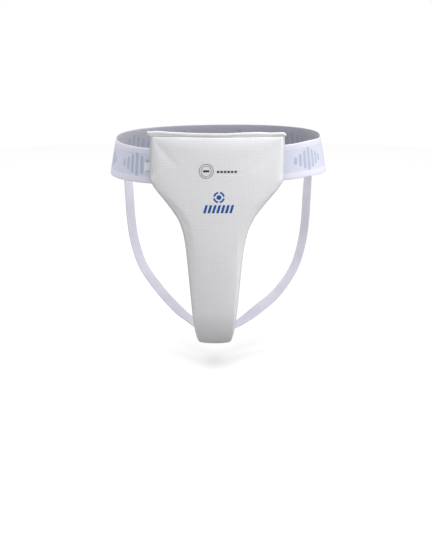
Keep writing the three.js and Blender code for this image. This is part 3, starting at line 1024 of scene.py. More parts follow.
def core_layer(name, node, slot, look, front, back, inset, follow_face=False):
    """One foam or plate layer inside the pad, from front to back in depth below the face."""
    grid = pad_grid(SEAM_HEIGHT + inset, SPLAY + inset)
    points = []
    uvs = []
    for depth, crowned in ((front, follow_face), (back, False)):
        for row in grid:
            for x, s in row:
                below_cover = face_depth(x, s) + front if crowned else depth
                points.append(shield_point(x, s, below_cover * depth_scale(s)))
                uvs.append((x, s))
    rows = len(grid)
    columns = len(grid[0])
    faces = grid_faces(columns - 1, rows - 1)
    faces += grid_faces(columns - 1, rows - 1, rows * columns, True)
    loop = [row * columns + column for row, column in perimeter(rows, columns)]
    for k, a in enumerate(loop):
        b = loop[(k + 1) % len(loop)]
        faces.append((a, a + rows * columns, b + rows * columns, b))
    obj = make_piece(name, points, faces, uvs)
    finish_piece(obj, look, [node])
    return obj


def make_core():
    dense = foam_look("closed_cell_foam", (0.58, 0.61, 0.65), (0.52, 0.55, 0.59), DENSE_CELL)
    outer = core_layer(
        "foam_outer_layer", "outer_foam", "outer_foam", dense, *OUTER_FOAM, follow_face=True)
    core_layer("plate_layer", "protective_plate", "plate", plate_look(), *PLATE)
    soft = foam_look("comfort_foam", (0.77, 0.73, 0.59), (0.72, 0.68, 0.54), SOFT_CELL)
    inner = core_layer("foam_comfort_layer", "comfort_foam", "comfort_foam", soft, *COMFORT_FOAM)


# height of the lip's edge above its straight line, by the share of the shield's half width
LIP_WAVES = (
    (-1.0, 0.6), (-0.9, 1.5), (-0.62, 0.5), (-0.3, -0.4), (0.1, -0.6),
    (0.42, 0.5), (0.58, 0.7), (0.8, -0.4), (1.0, -0.5),
)
LIP_OVERHANG = 2.2
LEFT_FLAP = 2.4          # the strip's left end sticks out further, cut on the slant
LIP_THICK = 3.0
LIP_BOTTOM = 6.6
LIP_DEPTH = 4.3
LIP_LEAN = 0.9           # its lower edge is pulled in by the seam
LIP_BELOW_TOP = 0.6
LIP_WANDER = 0.9
LIP_WANDER_RATE = 0.035


def lip_frame(x):
    """Top of the lip and its depth at x, with the strip's gentle waves."""
    top = LIP_BELOW_TOP - through(LIP_WAVES, x / SHIELD_HALF_WIDTH)
    wander = noise.noise(Vector((x * LIP_WANDER_RATE, 3.1, 0.0))) * LIP_WANDER
    return top, LIP_DEPTH + wander


BINDING_STEPS = 120
BINDING_SECTION = 14
LIP_END_RADIUS = 5
LIP_FOOT = 1.12          # the lower half of the lip is this much thicker
LIP_SQUARENESS = 0.45
LIP_FLATNESS = 0.8
FLAP_SLANT = 0.3


def make_binding():
    """A strip folded over the top seam; its section is a tall loop with a round top."""
    points = []
    uvs = []
    half_length = SHIELD_HALF_WIDTH + LIP_OVERHANG
    for i in range(BINDING_STEPS + 1):
        x = lerp(-half_length - LEFT_FLAP, half_length, i / BINDING_STEPS)
        top, depth = lip_frame(x)
        # the left end is cut on the slant and stands proud; the right end is rounded off
        to_right = half_length - x
        if to_right < LIP_END_RADIUS:
            into = LIP_END_RADIUS - to_right
            top += LIP_END_RADIUS - math.sqrt(max(0.0, LIP_END_RADIUS ** 2 - into ** 2))
        past_left = max(0.0, -SHIELD_HALF_WIDTH + 1 - x)
        bottom = LIP_BOTTOM - FLAP_SLANT * past_left
        for k in range(BINDING_SECTION):
            angle = 2 * PI * k / BINDING_SECTION
            up = math.cos(angle)
            out = math.sin(angle)
            thick = LIP_THICK / 2 * (1.0 if up > 0 else LIP_FOOT)
            middle = (top + bottom) / 2
            reach = (bottom - top) / 2
            s = middle - reach * math.copysign(abs(up) ** LIP_SQUARENESS, up)
            pulled = LIP_LEAN * (1 - up) / 2
            proud = thick * math.copysign(abs(out) ** LIP_FLATNESS, out)
            points.append(shield_point(x, s, depth + pulled + proud))
            uvs.append((x, s - top))
    obj = make_piece("binding_strip", points, tube_faces(BINDING_STEPS, BINDING_SECTION, True), uvs)
    finer = obj.modifiers.new("finer", "SUBSURF")
    finer.levels = 1
    apply_modifiers(obj)
    return finish_piece(obj, BINDING, ["top_binding"])


TOP_STITCH_STEPS = 60
TOP_STITCH_PAST = 0.5
TOP_STITCH_FILL = 0.7
TOP_THREAD_RADIUS = 0.42
THREAD_OFF_CLOTH = 0.1


def make_top_stitches():
    """Stitches along the front of the lip."""
    run = []
    ups = []
    for i in range(TOP_STITCH_STEPS + 1):
        x = lerp(-1, 1, i / TOP_STITCH_STEPS) * (SHIELD_HALF_WIDTH + TOP_STITCH_PAST)
        top, depth = lip_frame(x)
        front = depth + LIP_LEAN / 2 - LIP_THICK / 2 - THREAD_OFF_CLOTH
        run.append(shield_point(x, top + STITCH_LINE, front))
        ups.append(-inward(0))
    stitch_row(
        "top_stitches", [(run, ups)], TOP_STITCH_PITCH, "top_seam_thread",
        TOP_THREAD_RADIUS, TOP_STITCH_FILL)


BACK_STITCH_PITCH = 3.1
BACK_STITCH_FROM = 3     # rows below the top seam
BACK_STITCH_PLACE = 0.6  # share of the way over the last ring of the fold


def make_back_stitches():
    """Stitches that hold the cover's turned edge down on the lining."""
    run = []
    ups = []
    ring = PAD.rings[-3]
    inner = PAD.rings[-2]
    for k in range(BACK_STITCH_FROM, PAD.top_start + 1 - BACK_STITCH_FROM):
        place = PAD_POINTS[ring[k]].lerp(PAD_POINTS[inner[k]], BACK_STITCH_PLACE)
        s = PAD.places[ring[k]][1]
        up = inward(s)
        run.append(place + up * THREAD_OFF_CLOTH)
        ups.append(up)
    stitch_row("back_stitches", [(run, ups)], BACK_STITCH_PITCH, "back_seam_thread")


# ------------------------------------------------------------------ printed marks


PRINT_FROM = -8           # depth in front of the face from which a mark is pressed on
PRINT_LIFT = 0.12
PRINT_THICKNESS = 0.14


def marks_on(cover):
    """Projects flat (x, s) outlines onto the finished cover."""
    tree = BVHTree.FromPolygons([v.co for v in cover.data.vertices],
                                [p.vertices[:] for p in cover.data.polygons])

    def place(x, s):
        start = shield_point(x, s, PRINT_FROM) * MM
        hit = tree.ray_cast(start, inward(s))[0]
        return (hit if hit is not None else start) / MM - inward(s) * PRINT_LIFT

    return place


def patch_of(place, points, faces, uvs, outline, across, down):
    """A rectangular patch in its own (p, q) from 0 to 1, mapped by outline to (x, s)."""
    start = len(points)
    for j in range(down + 1):
        for i in range(across + 1):
            x, s = outline(i / across, j / down)
            points.append(place(x, s))
            uvs.append((x, s))
    faces += grid_faces(across, down, start)


def ring_shape(cx, cs, radius, width, turn=(0.0, 1.0)):
    def outline(p, q):
        angle = 2 * PI * lerp(turn[0], turn[1], p)
        r = radius - width * q
        return cx + r * math.cos(angle), cs - r * math.sin(angle)
    return outline


def bar_shape(cx, cs, wide, tall, slant=0.0):
    def outline(p, q):
        return cx + (p - 0.5) * wide + (0.5 - q) * slant, cs + (q - 0.5) * tall
    return outline


def print_piece(name, cover_place, shapes, look):
    points = []
    faces = []
    uvs = []
    for outline, across, down in shapes:
        patch_of(cover_place, points, faces, uvs, outline, across, down)
    obj = make_piece(name, points, faces, uvs)
    solid = obj.modifiers.new("film", "SOLIDIFY")
    solid.thickness = PRINT_THICKNESS * MM
    solid.offset = 0
    apply_modifiers(obj)
    return finish_piece(obj, look)


# a plain round badge with a row of dashes beside it
BADGE_X = -14.5
BADGE_S = 51.5
BADGE_RINGS = ((9.8, 0.6, 64), (7.2, 0.5, 56))    # radius, width and steps
BADGE_BAR = (8.4, 2.8)
DASHES = 6
DASHES_FROM_BADGE = 16.0
DASH_PITCH = 4.7
DASH_DROP = 0.8
DASH = (3.3, 2.9)
# a ring in four arcs round a disc, over slanted stripes
EMBLEM_X = 3.6
EMBLEM_S = 87.0
ARCS = 4
ARC_RADIUS = 7.8
ARC_WIDTH = 2.3
ARC_FROM = 0.03
ARC_TO = 0.22
DISC_RADIUS = 3.2
DISC_HOLE = 0.02
STRIPES = 7
STRIPES_S = 103.0
STRIPES_WIDTH = 41.0
STRIPE_TALL = 11.0
STRIPE_SHARE = 0.56
STRIPE_SLANT = 3.0


def make_badge(place):
    shapes = []
    for radius, width, steps in BADGE_RINGS:
        shapes.append((ring_shape(BADGE_X, BADGE_S, radius, width), steps, 1))
    shapes.append((bar_shape(BADGE_X, BADGE_S, *BADGE_BAR), 6, 2))
    for i in range(DASHES):
        x = BADGE_X + DASHES_FROM_BADGE + i * DASH_PITCH
        shapes.append((bar_shape(x, BADGE_S + DASH_DROP, *DASH), 3, 2))
    black = ink_look("black_ink", (0.055, 0.055, 0.06), (0.035, 0.035, 0.04))
    print_piece("black_print", place, shapes, black)


def make_emblem(place):
    shapes = []
    for i in range(ARCS):
        turn = (i / ARCS + ARC_FROM, i / ARCS + ARC_TO)
        shapes.append((ring_shape(EMBLEM_X, EMBLEM_S, ARC_RADIUS, ARC_WIDTH, turn), 12, 2))
    shapes.append((ring_shape(EMBLEM_X, EMBLEM_S, DISC_RADIUS, DISC_RADIUS - DISC_HOLE), 32, 3))
    pitch = STRIPES_WIDTH / STRIPES
    for i in range(STRIPES):
        x = EMBLEM_X + (i - (STRIPES - 1) / 2) * pitch
        stripe = bar_shape(x, STRIPES_S, pitch * STRIPE_SHARE, STRIPE_TALL, STRIPE_SLANT)
        shapes.append((stripe, 3, 8))
    blue = ink_look("blue_ink", (0.0, 0.082, 0.36), (0.0, 0.068, 0.30))
    print_piece("blue_print", place, shapes, blue)


def make_prints(cover):
    place = marks_on(cover)
    make_badge(place)
    make_emblem(place)


# ------------------------------------------------------------------ waistband


BAND_SAMPLES = 900
BAND_STEPS = 260
BAND_FRONT_FROM = 90     # the band's front is drawn up over this depth
UPPER_RIPPLE = 0.6
LOWER_RIPPLE = 1.1
RIPPLE_RATE = 0.02
BORDER_EDGE = 0.4
BORDER_STEP = 0.14       # the borders are thicker than the panel by this much on each face
UPPER_CORD = 2.5
LOWER_CORD = 3.0
PANEL_ROWS = 10
RIM_TURNS = (1, 2, 3)    # quarters of the half turn round an edge


def waist_point(angle):
    power = 2 / WAIST_SQUARENESS
    sine = math.sin(angle)
    cosine = math.cos(angle)
    depth = WAIST_BACK_DEPTH if cosine > 0 else WAIST_FRONT_DEPTH
    return Vector((
        WAIST_HALF_WIDTH * math.copysign(abs(sine) ** power, sine),
        depth * math.copysign(abs(cosine) ** power, cosine),
        0.0,
    ))


def band_path():
    def behind(x):
        # the shield reaches height zero, the band's middle, at a length of about SHIELD_TOP_Z
        point = shield_point(x, SHIELD_TOP_Z, BACK_DEPTH + BAND_OFF_LINING + BAND_THICKNESS / 2)
        return Vector((x, point.y, 0.0))

    half = [behind(x) for x in BAND_BEHIND_SHIELD]
    for i in range(WAIST_STOPS, 0, -1):
        point = waist_point(i / WAIST_STOPS * PI)
        if point.y > 0 or point.x > BAND_LEAVES_SHIELD:
            half.append(point)
    mirrored = [Vector((-p.x, p.y, 0.0)) for p in reversed(half)]
    return Path(half + [waist_point(0.0)] + mirrored, BAND_SAMPLES)


BAND = band_path()


def band_roll(point):
    in_front = smooth_step(-point.y / BAND_FRONT_FROM)
    return BAND_RISE_IN_FRONT * in_front + point.x * (BAND_ROLL + BAND_ROLL_IN_FRONT * in_front)


def band_frame(length):
    middle = BAND.at(length)
    along = BAND.along(length)
    out = Vector((along.y, -along.x, 0.0)).normalized()
    if out.dot(middle) < 0:
        out = -out
    leaving = (abs(middle.x) - SHIELD_HALF_WIDTH) / (WAIST_HALF_WIDTH - SHIELD_HALF_WIDTH)
    share = smooth_step(leaving) if middle.y < 0 else 1.0
    return middle, along, out, lerp(-START_ANGLE, BAND_FLARE, share)


def band_point(length, height, proud):
    middle, along, out, flare = band_frame(length)
    if height < 0:
        height *= LOWER_GATHER
    place = middle + out * (proud - height * math.tan(flare))
    place.z = height + band_roll(middle)
    return place


def band_ripple(length, height):
    """The edges of a worn elastic wave a little, the lower one more."""
    edge = abs(height) / (BAND_WIDTH / 2)
    grow = LOWER_RIPPLE if height < 0 else UPPER_RIPPLE
    return noise.noise(Vector((length * RIPPLE_RATE, height * RIPPLE_RATE / 2, 7.0))) * grow * edge ** 2


def rim_turn(rim):
    """(out, towards the face) round the edge of an elastic of half thickness rim."""
    return [(rim * math.sin(PI * k / 4), rim * math.cos(PI * k / 4)) for k in RIM_TURNS]


def band_section():
    """(height, proud) round the band's section, proud from its middle towards the outer face."""
    half = BAND_WIDTH / 2
    rim = BAND_THICKNESS / 2
    loop = []
    high = half - UPPER_BORDER
    low = LOWER_BORDER - half
    heights = [half - rim, half - UPPER_CORD, high + BORDER_EDGE, high - BORDER_EDGE]
    for i in range(1, PANEL_ROWS):
        heights.append(lerp(high - BORDER_EDGE, low + BORDER_EDGE, i / PANEL_ROWS))
    heights += [low + BORDER_EDGE, low - BORDER_EDGE, LOWER_CORD - half, rim - half]

    def thickness(height):
        bordered = height > high or height < low
        return rim if bordered else rim - BORDER_STEP

    loop += [(height, thickness(height)) for height in heights]
    loop += [(rim - half - out, face) for out, face in rim_turn(rim)]
    loop += [(height, -thickness(height)) for height in reversed(heights)]
    loop += [(half - rim + out, -face) for out, face in rim_turn(rim)]
    return loop


def length_at(x, front):
    """Length along the band where its plan passes x on its front or back half."""
    best = min(
        (abs(place.x - x), length)
        for place, length in zip(BAND.places, BAND.lengths)
        if (place.y < 0) == front
    )
    return best[1]


MOTIF_RIGHT_X = 123
MOTIF_LEFT_X = -110
MOTIF_PITCH_NEAR = 86


def motif_spacing():
    first = length_at(MOTIF_RIGHT_X, True)
    last = length_at(MOTIF_LEFT_X, True)
    count = round((last - first) / MOTIF_PITCH_NEAR)
    return (last - first) / count, first


def make_band():
    pitch, first = motif_spacing()
    centre = (LOWER_BORDER - UPPER_BORDER) / 2
    outer = elastic_look(
        "waist_elastic_outer", (0.66, 0.68, 0.81), (0.74, 0.74, 0.85), (0.45, 0.49, 0.61),
        pitch, -first, centre)
    # painted shade: the inner face is a darker copy of the outer face, for the shade inside the ring
    inner = elastic_look(
        "waist_elastic_inner_painted_shade", (0.41, 0.41, 0.48), (0.43, 0.43, 0.50), (0.32, 0.34, 0.41),
        pitch, -first, centre)
    section = band_section()
    points = []
    uvs = []
    for i in range(BAND_STEPS + 1):
        length = BAND.length * i / BAND_STEPS
        for height, proud in section:
            points.append(band_point(length, height, proud + band_ripple(length, height)))
            uvs.append((length, height))
    count = len(section)
    obj = make_piece("waistband", points, tube_faces(BAND_STEPS, count), uvs)
    inside = {k for k, (height, proud) in enumerate(section) if proud < 0}
    finish_piece(obj, [outer, inner], ["waistband_elastic"])
    for polygon in obj.data.polygons:
        if len(polygon.vertices) == 4 and all(corner % count in inside for corner in polygon.vertices):
            polygon.material_index = 1
    return obj


BOX_STEPS = 6


def stitched_box(half_u, half_v, at):
    """Points and ups round a rectangle; at(u, v) gives (point, up)."""
    corners = ((-1, -1), (1, -1), (1, 1), (-1, 1), (-1, -1))
    run = []
    ups = []
    for (au, av), (bu, bv) in zip(corners, corners[1:]):
        for i in range(BOX_STEPS):
            share = i / BOX_STEPS
            point, up = at(lerp(au, bu, share) * half_u, lerp(av, bv, share) * half_v)
            run.append(point)
            ups.append(up)
    run.append(run[0])
    ups.append(ups[0])
    return run, ups


BAND_BOX_FROM_END = 14
BAND_BOX_HALF_WIDTH = 8
BAND_BOX_MARGIN = 5
BAND_CROSS_HALF_HEIGHT = 20
BAND_STITCH_PITCH = 2.8
CROSS_STEPS = 8


def make_band_stitches(sign, name, node):
    """A box of stitches with a cross in it, on the inner face at one end of the band."""
    centre = BAND_BOX_FROM_END if sign > 0 else BAND.length - BAND_BOX_FROM_END

    def at(u, v):
        out = band_frame(centre + u)[2]
        return band_point(centre + u, v, -BAND_THICKNESS / 2 - THREAD_OFF_CLOTH), -out

    runs = [stitched_box(BAND_BOX_HALF_WIDTH, BAND_WIDTH / 2 - BAND_BOX_MARGIN, at)]
    for rise in (1, -1):
        line = []
        for i in range(CROSS_STEPS + 1):
            share = 2 * i / CROSS_STEPS - 1
            line.append(at(share * BAND_BOX_HALF_WIDTH, rise * share * BAND_CROSS_HALF_HEIGHT))
        runs.append(([point for point, up in line], [up for point, up in line]))
    stitch_row(name, runs, BAND_STITCH_PITCH, node)


# ------------------------------------------------------------------ leg straps


STRAP_BELOW_BAND = 2
STRAP_SAMPLES = 300
STRAP_STEPS = 150
STRAP_SELVEDGE = 1.6
STRAP_CURL = 0.5
STRAP_CURL_RATE = 0.018
SECTION_SHOULDER = 0.4   # share of a strap's half width up to the section's inner point
STRAP_TURNED = 0.35      # how far the last hanging stop has turned to the tongue
# heights below zero between which a strap goes out of true, and then follows the tongue
SWAY_FROM = 60
SWAY_OVER = 150
TONGUE_FROM = 205
TONGUE_OVER = 30


class Strap:
    """Route and frame of one leg strap; sign is 1 on the right and -1 on the left."""

    def __init__(self, sign):
        start = length_at(sign * STRAP_ON_WAIST, False)
        out = band_frame(start)[2]
        inside = -(BAND_THICKNESS / 2 + STRAP_OFF_BAND + STRAP_THICKNESS / 2)
        low = -BAND_WIDTH / 2
        stops = []
        faces = []
        for height in (low + STRAP_ON_BAND, low + STRAP_ON_BAND / 2, low - STRAP_BELOW_BAND):
            stops.append(band_point(start, height, inside))
            faces.append(out.copy())
        hanging = Vector((sign * math.sin(STRAP_FACING), math.cos(STRAP_FACING), 0.0))
        tongue_face = -inward(STRAP_TONGUE_FROM)
        last = len(STRAP_ROUTE) - 1
        for i, (x, y, z) in enumerate(STRAP_ROUTE):
            # each strap hangs a little out of true, like the tongue that it runs to
            swayed = smooth_step((-z - SWAY_FROM) / SWAY_OVER)
            at_tongue = smooth_step((-z - TONGUE_FROM) / TONGUE_OVER)
            shift = STRAP_SWAY[sign] * swayed + lean(SHIELD_LENGTH) * at_tongue
            stops.append(Vector((sign * x + shift, y, z + STRAP_LIFT[sign] * swayed)))
            faces.append(hanging.lerp(tongue_face, STRAP_TURNED) if i == last else hanging.copy())
        under = BACK_DEPTH * depth_scale(STRAP_TONGUE_TO) + STRAP_OFF_TONGUE + STRAP_THICKNESS / 2
        for i, s in enumerate((STRAP_TONGUE_FROM, STRAP_TONGUE_TO)):
            stops.append(shield_point(sign * (STRAP_TONGUE_X - i * STRAP_SPREAD), s, under))
            faces.append(-inward(s))
        self.path = Path(stops, STRAP_SAMPLES)
        self.faces = [face.normalized() for face in faces]

    def frame(self, length):
        t = self.path.param(length)
        n = len(self.faces) - 1
        k = min(int(t * n), n - 1)
        along = self.path.along(length)
        face = self.faces[k].lerp(self.faces[k + 1], smooth_step(t * n - k))
        face = (face - along * face.dot(along)).normalized()
        return self.path.at(length), along, face, face.cross(along).normalized()

    def point(self, length, across, proud):
        middle, along, face, wide = self.frame(length)
        return middle + wide * across + face * proud


STRAPS = {1: Strap(1), -1: Strap(-1)}
# each strap has its own painted light and shade: its colours near the band and towards the tongue even
# out how light falls on it
STRAP_LOOKS = {
    1: strap_look("strap_elastic_right", (0.88, 0.865, 0.96), (0.52, 0.505, 0.585)),
    -1: strap_look("strap_elastic_left", (0.74, 0.725, 0.815), (0.51, 0.50, 0.58)),
}


def strap_section():
    """(across, proud) round the strap's section."""
    rim = STRAP_THICKNESS / 2
    half = STRAP_WIDTH / 2
    inner = half * SECTION_SHOULDER
    selvedge = half - STRAP_SELVEDGE
    flats = [half - rim, selvedge, inner, 0.0, -inner, -selvedge, rim - half]
    section = [(across, rim) for across in flats]
    section += [(rim - half - out, face) for out, face in rim_turn(rim)]
    section += [(across, -rim) for across in reversed(flats)]
    section += [(half - rim + out, -face) for out, face in rim_turn(rim)]
    return section


def make_strap(sign, name, node):
    strap = STRAPS[sign]
    section = strap_section()
    points = []
    uvs = []
    for i in range(STRAP_STEPS + 1):
        length = strap.path.length * i / STRAP_STEPS
        curl = noise.noise(Vector((length * STRAP_CURL_RATE, sign * 5.0, 1.0))) * STRAP_CURL
        for across, proud in section:
            cup = curl * ((across / (STRAP_WIDTH / 2)) ** 2 - 0.5)
            points.append(strap.point(length, across, proud + cup))
            uvs.append((length, across))
    obj = make_piece(name, points, tube_faces(STRAP_STEPS, len(section)), uvs)
    return finish_piece(obj, STRAP_LOOKS[sign], [node])


STRAP_BOX_HALF_LENGTH = 8.5
STRAP_BOX_MARGIN = 2.2
STRAP_BOX_LOWER = 0.5
STRAP_STITCH_PITCH = 2.4


def make_strap_stitches(sign, name, node):
    """A box of stitches on the strap's inner face, where it is sewn to the band."""
    strap = STRAPS[sign]
    centre = STRAP_ON_BAND / 2 + STRAP_BOX_LOWER

    def at(u, v):
        face = strap.frame(centre + v)[2]
        return strap.point(centre + v, u, -STRAP_THICKNESS / 2 - THREAD_OFF_CLOTH), -face

    box = stitched_box(STRAP_WIDTH / 2 - STRAP_BOX_MARGIN, STRAP_BOX_HALF_LENGTH, at)
    stitch_row(name, [box], STRAP_STITCH_PITCH, node, FINE_THREAD_RADIUS)


# ------------------------------------------------------------------ patch and label

PATCH_HALF_WIDTH = 21.5
PATCH_FROM = SHIELD_LENGTH - 30
PATCH_TO = SHIELD_LENGTH - 6
PATCH_MIDDLE = (PATCH_FROM + PATCH_TO) / 2
PATCH_HALF_LENGTH = (PATCH_TO - PATCH_FROM) / 2
PATCH_THICKNESS = 0.8
PATCH_OFF_STRAPS = 0.5
PATCH_FALL = 2.4         # its edge is sewn down by this much
PATCH_SIDE_SLOPE = 3.5
PATCH_TOP_SLOPE = 4
PATCH_CORNER = 0.06
PATCH_COLUMNS = 40
PATCH_ROWS = 26
PATCH_SEAM_INSET = 2.3
PATCH_STITCH_PITCH = 2.6


def patch_depth(x, s):
    """The patch lies over the straps and is sewn down towards its edge."""
    straps = BACK_DEPTH * depth_scale(STRAP_TONGUE_TO) + STRAP_OFF_TONGUE + STRAP_THICKNESS
    near_side = smooth_step((abs(x) - PATCH_HALF_WIDTH + PATCH_SIDE_SLOPE) / PATCH_SIDE_SLOPE)
    near_top = smooth_step((PATCH_FROM + PATCH_TOP_SLOPE - s) / PATCH_TOP_SLOPE)
    return straps + PATCH_OFF_STRAPS - PATCH_FALL * max(near_side, near_top)


def make_patch():
    points = []
    uvs = []
    for j in range(PATCH_ROWS + 1):
        for i in range(PATCH_COLUMNS + 1):
            p = 2 * i / PATCH_COLUMNS - 1
            q = 2 * j / PATCH_ROWS - 1
            corner = 1 - PATCH_CORNER * (p * q) ** 2
            x = p * PATCH_HALF_WIDTH * corner
            s = PATCH_MIDDLE + q * PATCH_HALF_LENGTH * corner
            points.append(shield_point(x, s, patch_depth(x, s)))
            uvs.append((x, s))
    faces = grid_faces(PATCH_COLUMNS, PATCH_ROWS, turned=True)
    obj = make_piece("tongue_patch", points, faces, uvs)
    thicken(obj, PATCH_THICKNESS)
    finish_piece(obj, KNIT, ["tongue_end_patch"])
    return obj


def make_patch_stitches():
    def at(u, v):
        s = PATCH_MIDDLE + v
        return shield_point(u, s, patch_depth(u, s) + THREAD_OFF_CLOTH), inward(s)

    box = stitched_box(PATCH_HALF_WIDTH - PATCH_SEAM_INSET, PATCH_HALF_LENGTH - PATCH_SEAM_INSET, at)
    stitch_row("patch_stitches", [box], PATCH_STITCH_PITCH, "tongue_patch_thread", FINE_THREAD_RADIUS)


LABEL_TOP = 45
LABEL_HEIGHT = 11
LABEL_LENGTH = 14
LABEL_PROUD = 7.5
LABEL_THICKNESS = 0.45
LABEL_COLUMNS = 24
LABEL_ROWS = 12
LABEL_FREE_FROM = 2      # inside the shield's edge
LABEL_BEHIND = 1.7
LABEL_FORWARD = 2.2      # the free end comes forward by this much
LABEL_CURL = 0.25
LABEL_CURL_TURN = 1.3 * PI


def make_label():
    """A blank woven label held in the shield's left seam, its free end curled a little."""
    points = []
    uvs = []
    outer = -SHIELD_HALF_WIDTH - LABEL_PROUD
    for j in range(LABEL_ROWS + 1):
        down = j / LABEL_ROWS
        for i in range(LABEL_COLUMNS + 1):
            x = outer + LABEL_LENGTH * i / LABEL_COLUMNS
            s = LABEL_TOP + LABEL_HEIGHT * down
            free_length = LABEL_PROUD + LABEL_FREE_FROM
            free = smooth_step((outer + free_length - x) / free_length)
            curl = LABEL_CURL * math.sin(down * LABEL_CURL_TURN)
            depth = BACK_DEPTH + LABEL_BEHIND + (curl - LABEL_FORWARD) * free
            points.append(shield_point(x, s, depth))
            uvs.append((x, s))
    obj = make_piece("blank_label", points, grid_faces(LABEL_COLUMNS, LABEL_ROWS), uvs)
    thicken(obj, LABEL_THICKNESS)
    finish_piece(obj, label_look(), ["care_label"])
    return obj


# ------------------------------------------------------------------ stage

VIEW_ELEVATION = math.radians(15)
CAMERA_DISTANCE = 2700
VIEW_HEIGHT = 798
SENSOR = 36
AIM = Vector((-3.1, 0.0, -182.8))
FLOOR_Z = -290
FLOOR_RADIUS = 1600
FLOOR_CORNERS = 96
FLOOR_ALBEDO = 0.52
FLOOR_GLOW = 0.44
FLOOR_BOUNCE = 0.35
AMBIENT_LOW = 0.38
AMBIENT_HIGH = 0.95
# place and size in metres, power in watts
KEY = ((2.4, -1.0, 1.7), 3.0, 80)
FILL = ((-2.4, -1.0, 1.0), 3.0, 12)
TOP = ((0.0, -0.4, 1.95), 1.2, 13)
SHADOW = ((0.0, -1.1, 1.8), 2.1, 50)
BAND_FILL = ((-2.4, -1.0, 1.0), 3.0, 28)
LIGHTS_AIM = Vector((0, 0, -0.1))


def make_camera():
    camera = bpy.data.cameras.new("camera")
    camera.sensor_width = SENSOR
    camera.lens = SENSOR * CAMERA_DISTANCE / VIEW_HEIGHT
    camera.clip_end = 50
    obj = bpy.data.objects.new("camera", camera)
    bpy.context.scene.collection.objects.link(obj)
    away = Vector((0, -math.cos(VIEW_ELEVATION), math.sin(VIEW_ELEVATION)))
    obj.location = (AIM + away * CAMERA_DISTANCE) * MM
    obj.rotation_euler = (PI / 2 - VIEW_ELEVATION, 0, 0)
    bpy.context.scene.camera = obj


def make_light(name, place, size, watts):
    light = bpy.data.lights.new(name, "AREA")
    light.shape = "DISK"
    light.size = size
    light.energy = watts
    obj = bpy.data.objects.new(name, light)
    bpy.context.scene.collection.objects.link(obj)
    obj.location = place
    toward = LIGHTS_AIM - Vector(place)
    obj.rotation_euler = toward.to_track_quat("-Z", "Y").to_euler()
    return obj


def make_world():
    """A white backdrop for the camera, and softer light for the object: brightest from above."""
    world = bpy.data.worlds.new("studio")
    bpy.context.scene.world = world
    world.use_nodes = True
    tree = world.node_tree
    background = tree.nodes["Background"]
    background.inputs["Color"].default_value = (1, 1, 1, 1)
    place = tree.nodes.new("ShaderNodeTexCoord")
    split = tree.nodes.new("ShaderNodeSeparateXYZ")
    tree.links.new(place.outputs["Generated"], split.inputs[0])
    height = tree.nodes.new("ShaderNodeMapRange")
    height.inputs["From Min"].default_value = -0.2
    height.inputs["From Max"].default_value = 1.0
    height.inputs["To Min"].default_value = AMBIENT_LOW
    height.inputs["To Max"].default_value = AMBIENT_HIGH
    tree.links.new(split.outputs["Z"], height.inputs["Value"])
    seen = tree.nodes.new("ShaderNodeLightPath")
    strength = tree.nodes.new("ShaderNodeMix")
    tree.links.new(seen.outputs["Is Camera Ray"], strength.inputs[0])
    tree.links.new(height.outputs["Result"], strength.inputs[2])
    strength.inputs[3].default_value = 1.0
    tree.links.new(strength.outputs[0], background.inputs["Strength"])


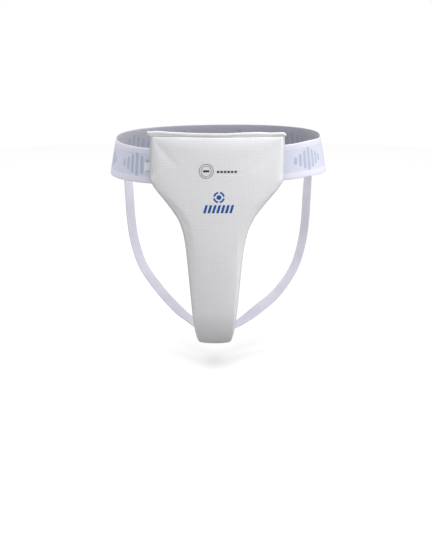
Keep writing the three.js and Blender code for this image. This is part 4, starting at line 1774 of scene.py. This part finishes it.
def make_floor():
    """A pale floor that is bright for the camera but throws little light up at the object."""
    corners = []
    for i in range(FLOOR_CORNERS):
        angle = 2 * PI * i / FLOOR_CORNERS
        corners.append((FLOOR_RADIUS * math.cos(angle), FLOOR_RADIUS * math.sin(angle), FLOOR_Z))
    obj = make_piece("floor", corners, [tuple(range(FLOOR_CORNERS))], smooth=False)
    material = bpy.data.materials.new("pale_floor")
    material.use_nodes = True
    tree = material.node_tree
    shader = tree.nodes["Principled BSDF"]
    shader.inputs["Roughness"].default_value = 1.0
    shader.inputs["Specular IOR Level"].default_value = 0.0
    shader.inputs["Emission Color"].default_value = (1, 1, 1, 1)
    seen = tree.nodes.new("ShaderNodeLightPath")
    glow = tree.nodes.new("ShaderNodeMath")
    glow.operation = "MULTIPLY"
    glow.inputs[1].default_value = FLOOR_GLOW
    tree.links.new(seen.outputs["Is Camera Ray"], glow.inputs[0])
    tree.links.new(glow.outputs[0], shader.inputs["Emission Strength"])
    paint = tree.nodes.new("ShaderNodeMix")
    paint.data_type = "RGBA"
    paint.inputs[6].default_value = (FLOOR_BOUNCE, FLOOR_BOUNCE, FLOOR_BOUNCE, 1)
    paint.inputs[7].default_value = (FLOOR_ALBEDO, FLOOR_ALBEDO, FLOOR_ALBEDO, 1)
    tree.links.new(seen.outputs["Is Camera Ray"], paint.inputs[0])
    tree.links.new(paint.outputs[2], shader.inputs["Base Color"])
    obj.data.materials.append(material)
    return obj


def link_light(light, obj, lit):
    """Let a light fall on this object only, or on everything but this object."""
    linked = bpy.data.collections.new(f"{light.name}_link")
    linked.objects.link(obj)
    light.light_linking.receiver_collection = linked
    linked.collection_objects[0].light_linking.link_state = "INCLUDE" if lit else "EXCLUDE"


def make_stage():
    make_camera()
    make_world()
    floor = make_floor()
    # the shadow light leaves one soft shadow below the object; the others only light the object
    for name, light in (("key", KEY), ("fill", FILL), ("top", TOP)):
        link_light(make_light(name, *light), floor, False)
    link_light(make_light("shadow", *SHADOW), floor, True)
    scene = bpy.context.scene
    scene.view_settings.view_transform = "Standard"
    scene.view_settings.look = "None"


# ------------------------------------------------------------------ build

make_stage()
cover = make_cover()
make_lining()
make_core()
make_binding()
make_top_stitches()
make_back_stitches()
make_prints(cover)
band = make_band()
link_light(make_light("band_fill", *BAND_FILL), band, True)
make_band_stitches(1, "band_stitches_right", "waistband_stitching_right")
make_band_stitches(-1, "band_stitches_left", "waistband_stitching_left")
make_strap(1, "strap_right", "leg_strap_right")
make_strap(-1, "strap_left", "leg_strap_left")
make_strap_stitches(1, "strap_stitches_right", "leg_strap_stitching_right")
make_strap_stitches(-1, "strap_stitches_left", "leg_strap_stitching_left")
make_patch()
make_patch_stitches()
make_label()
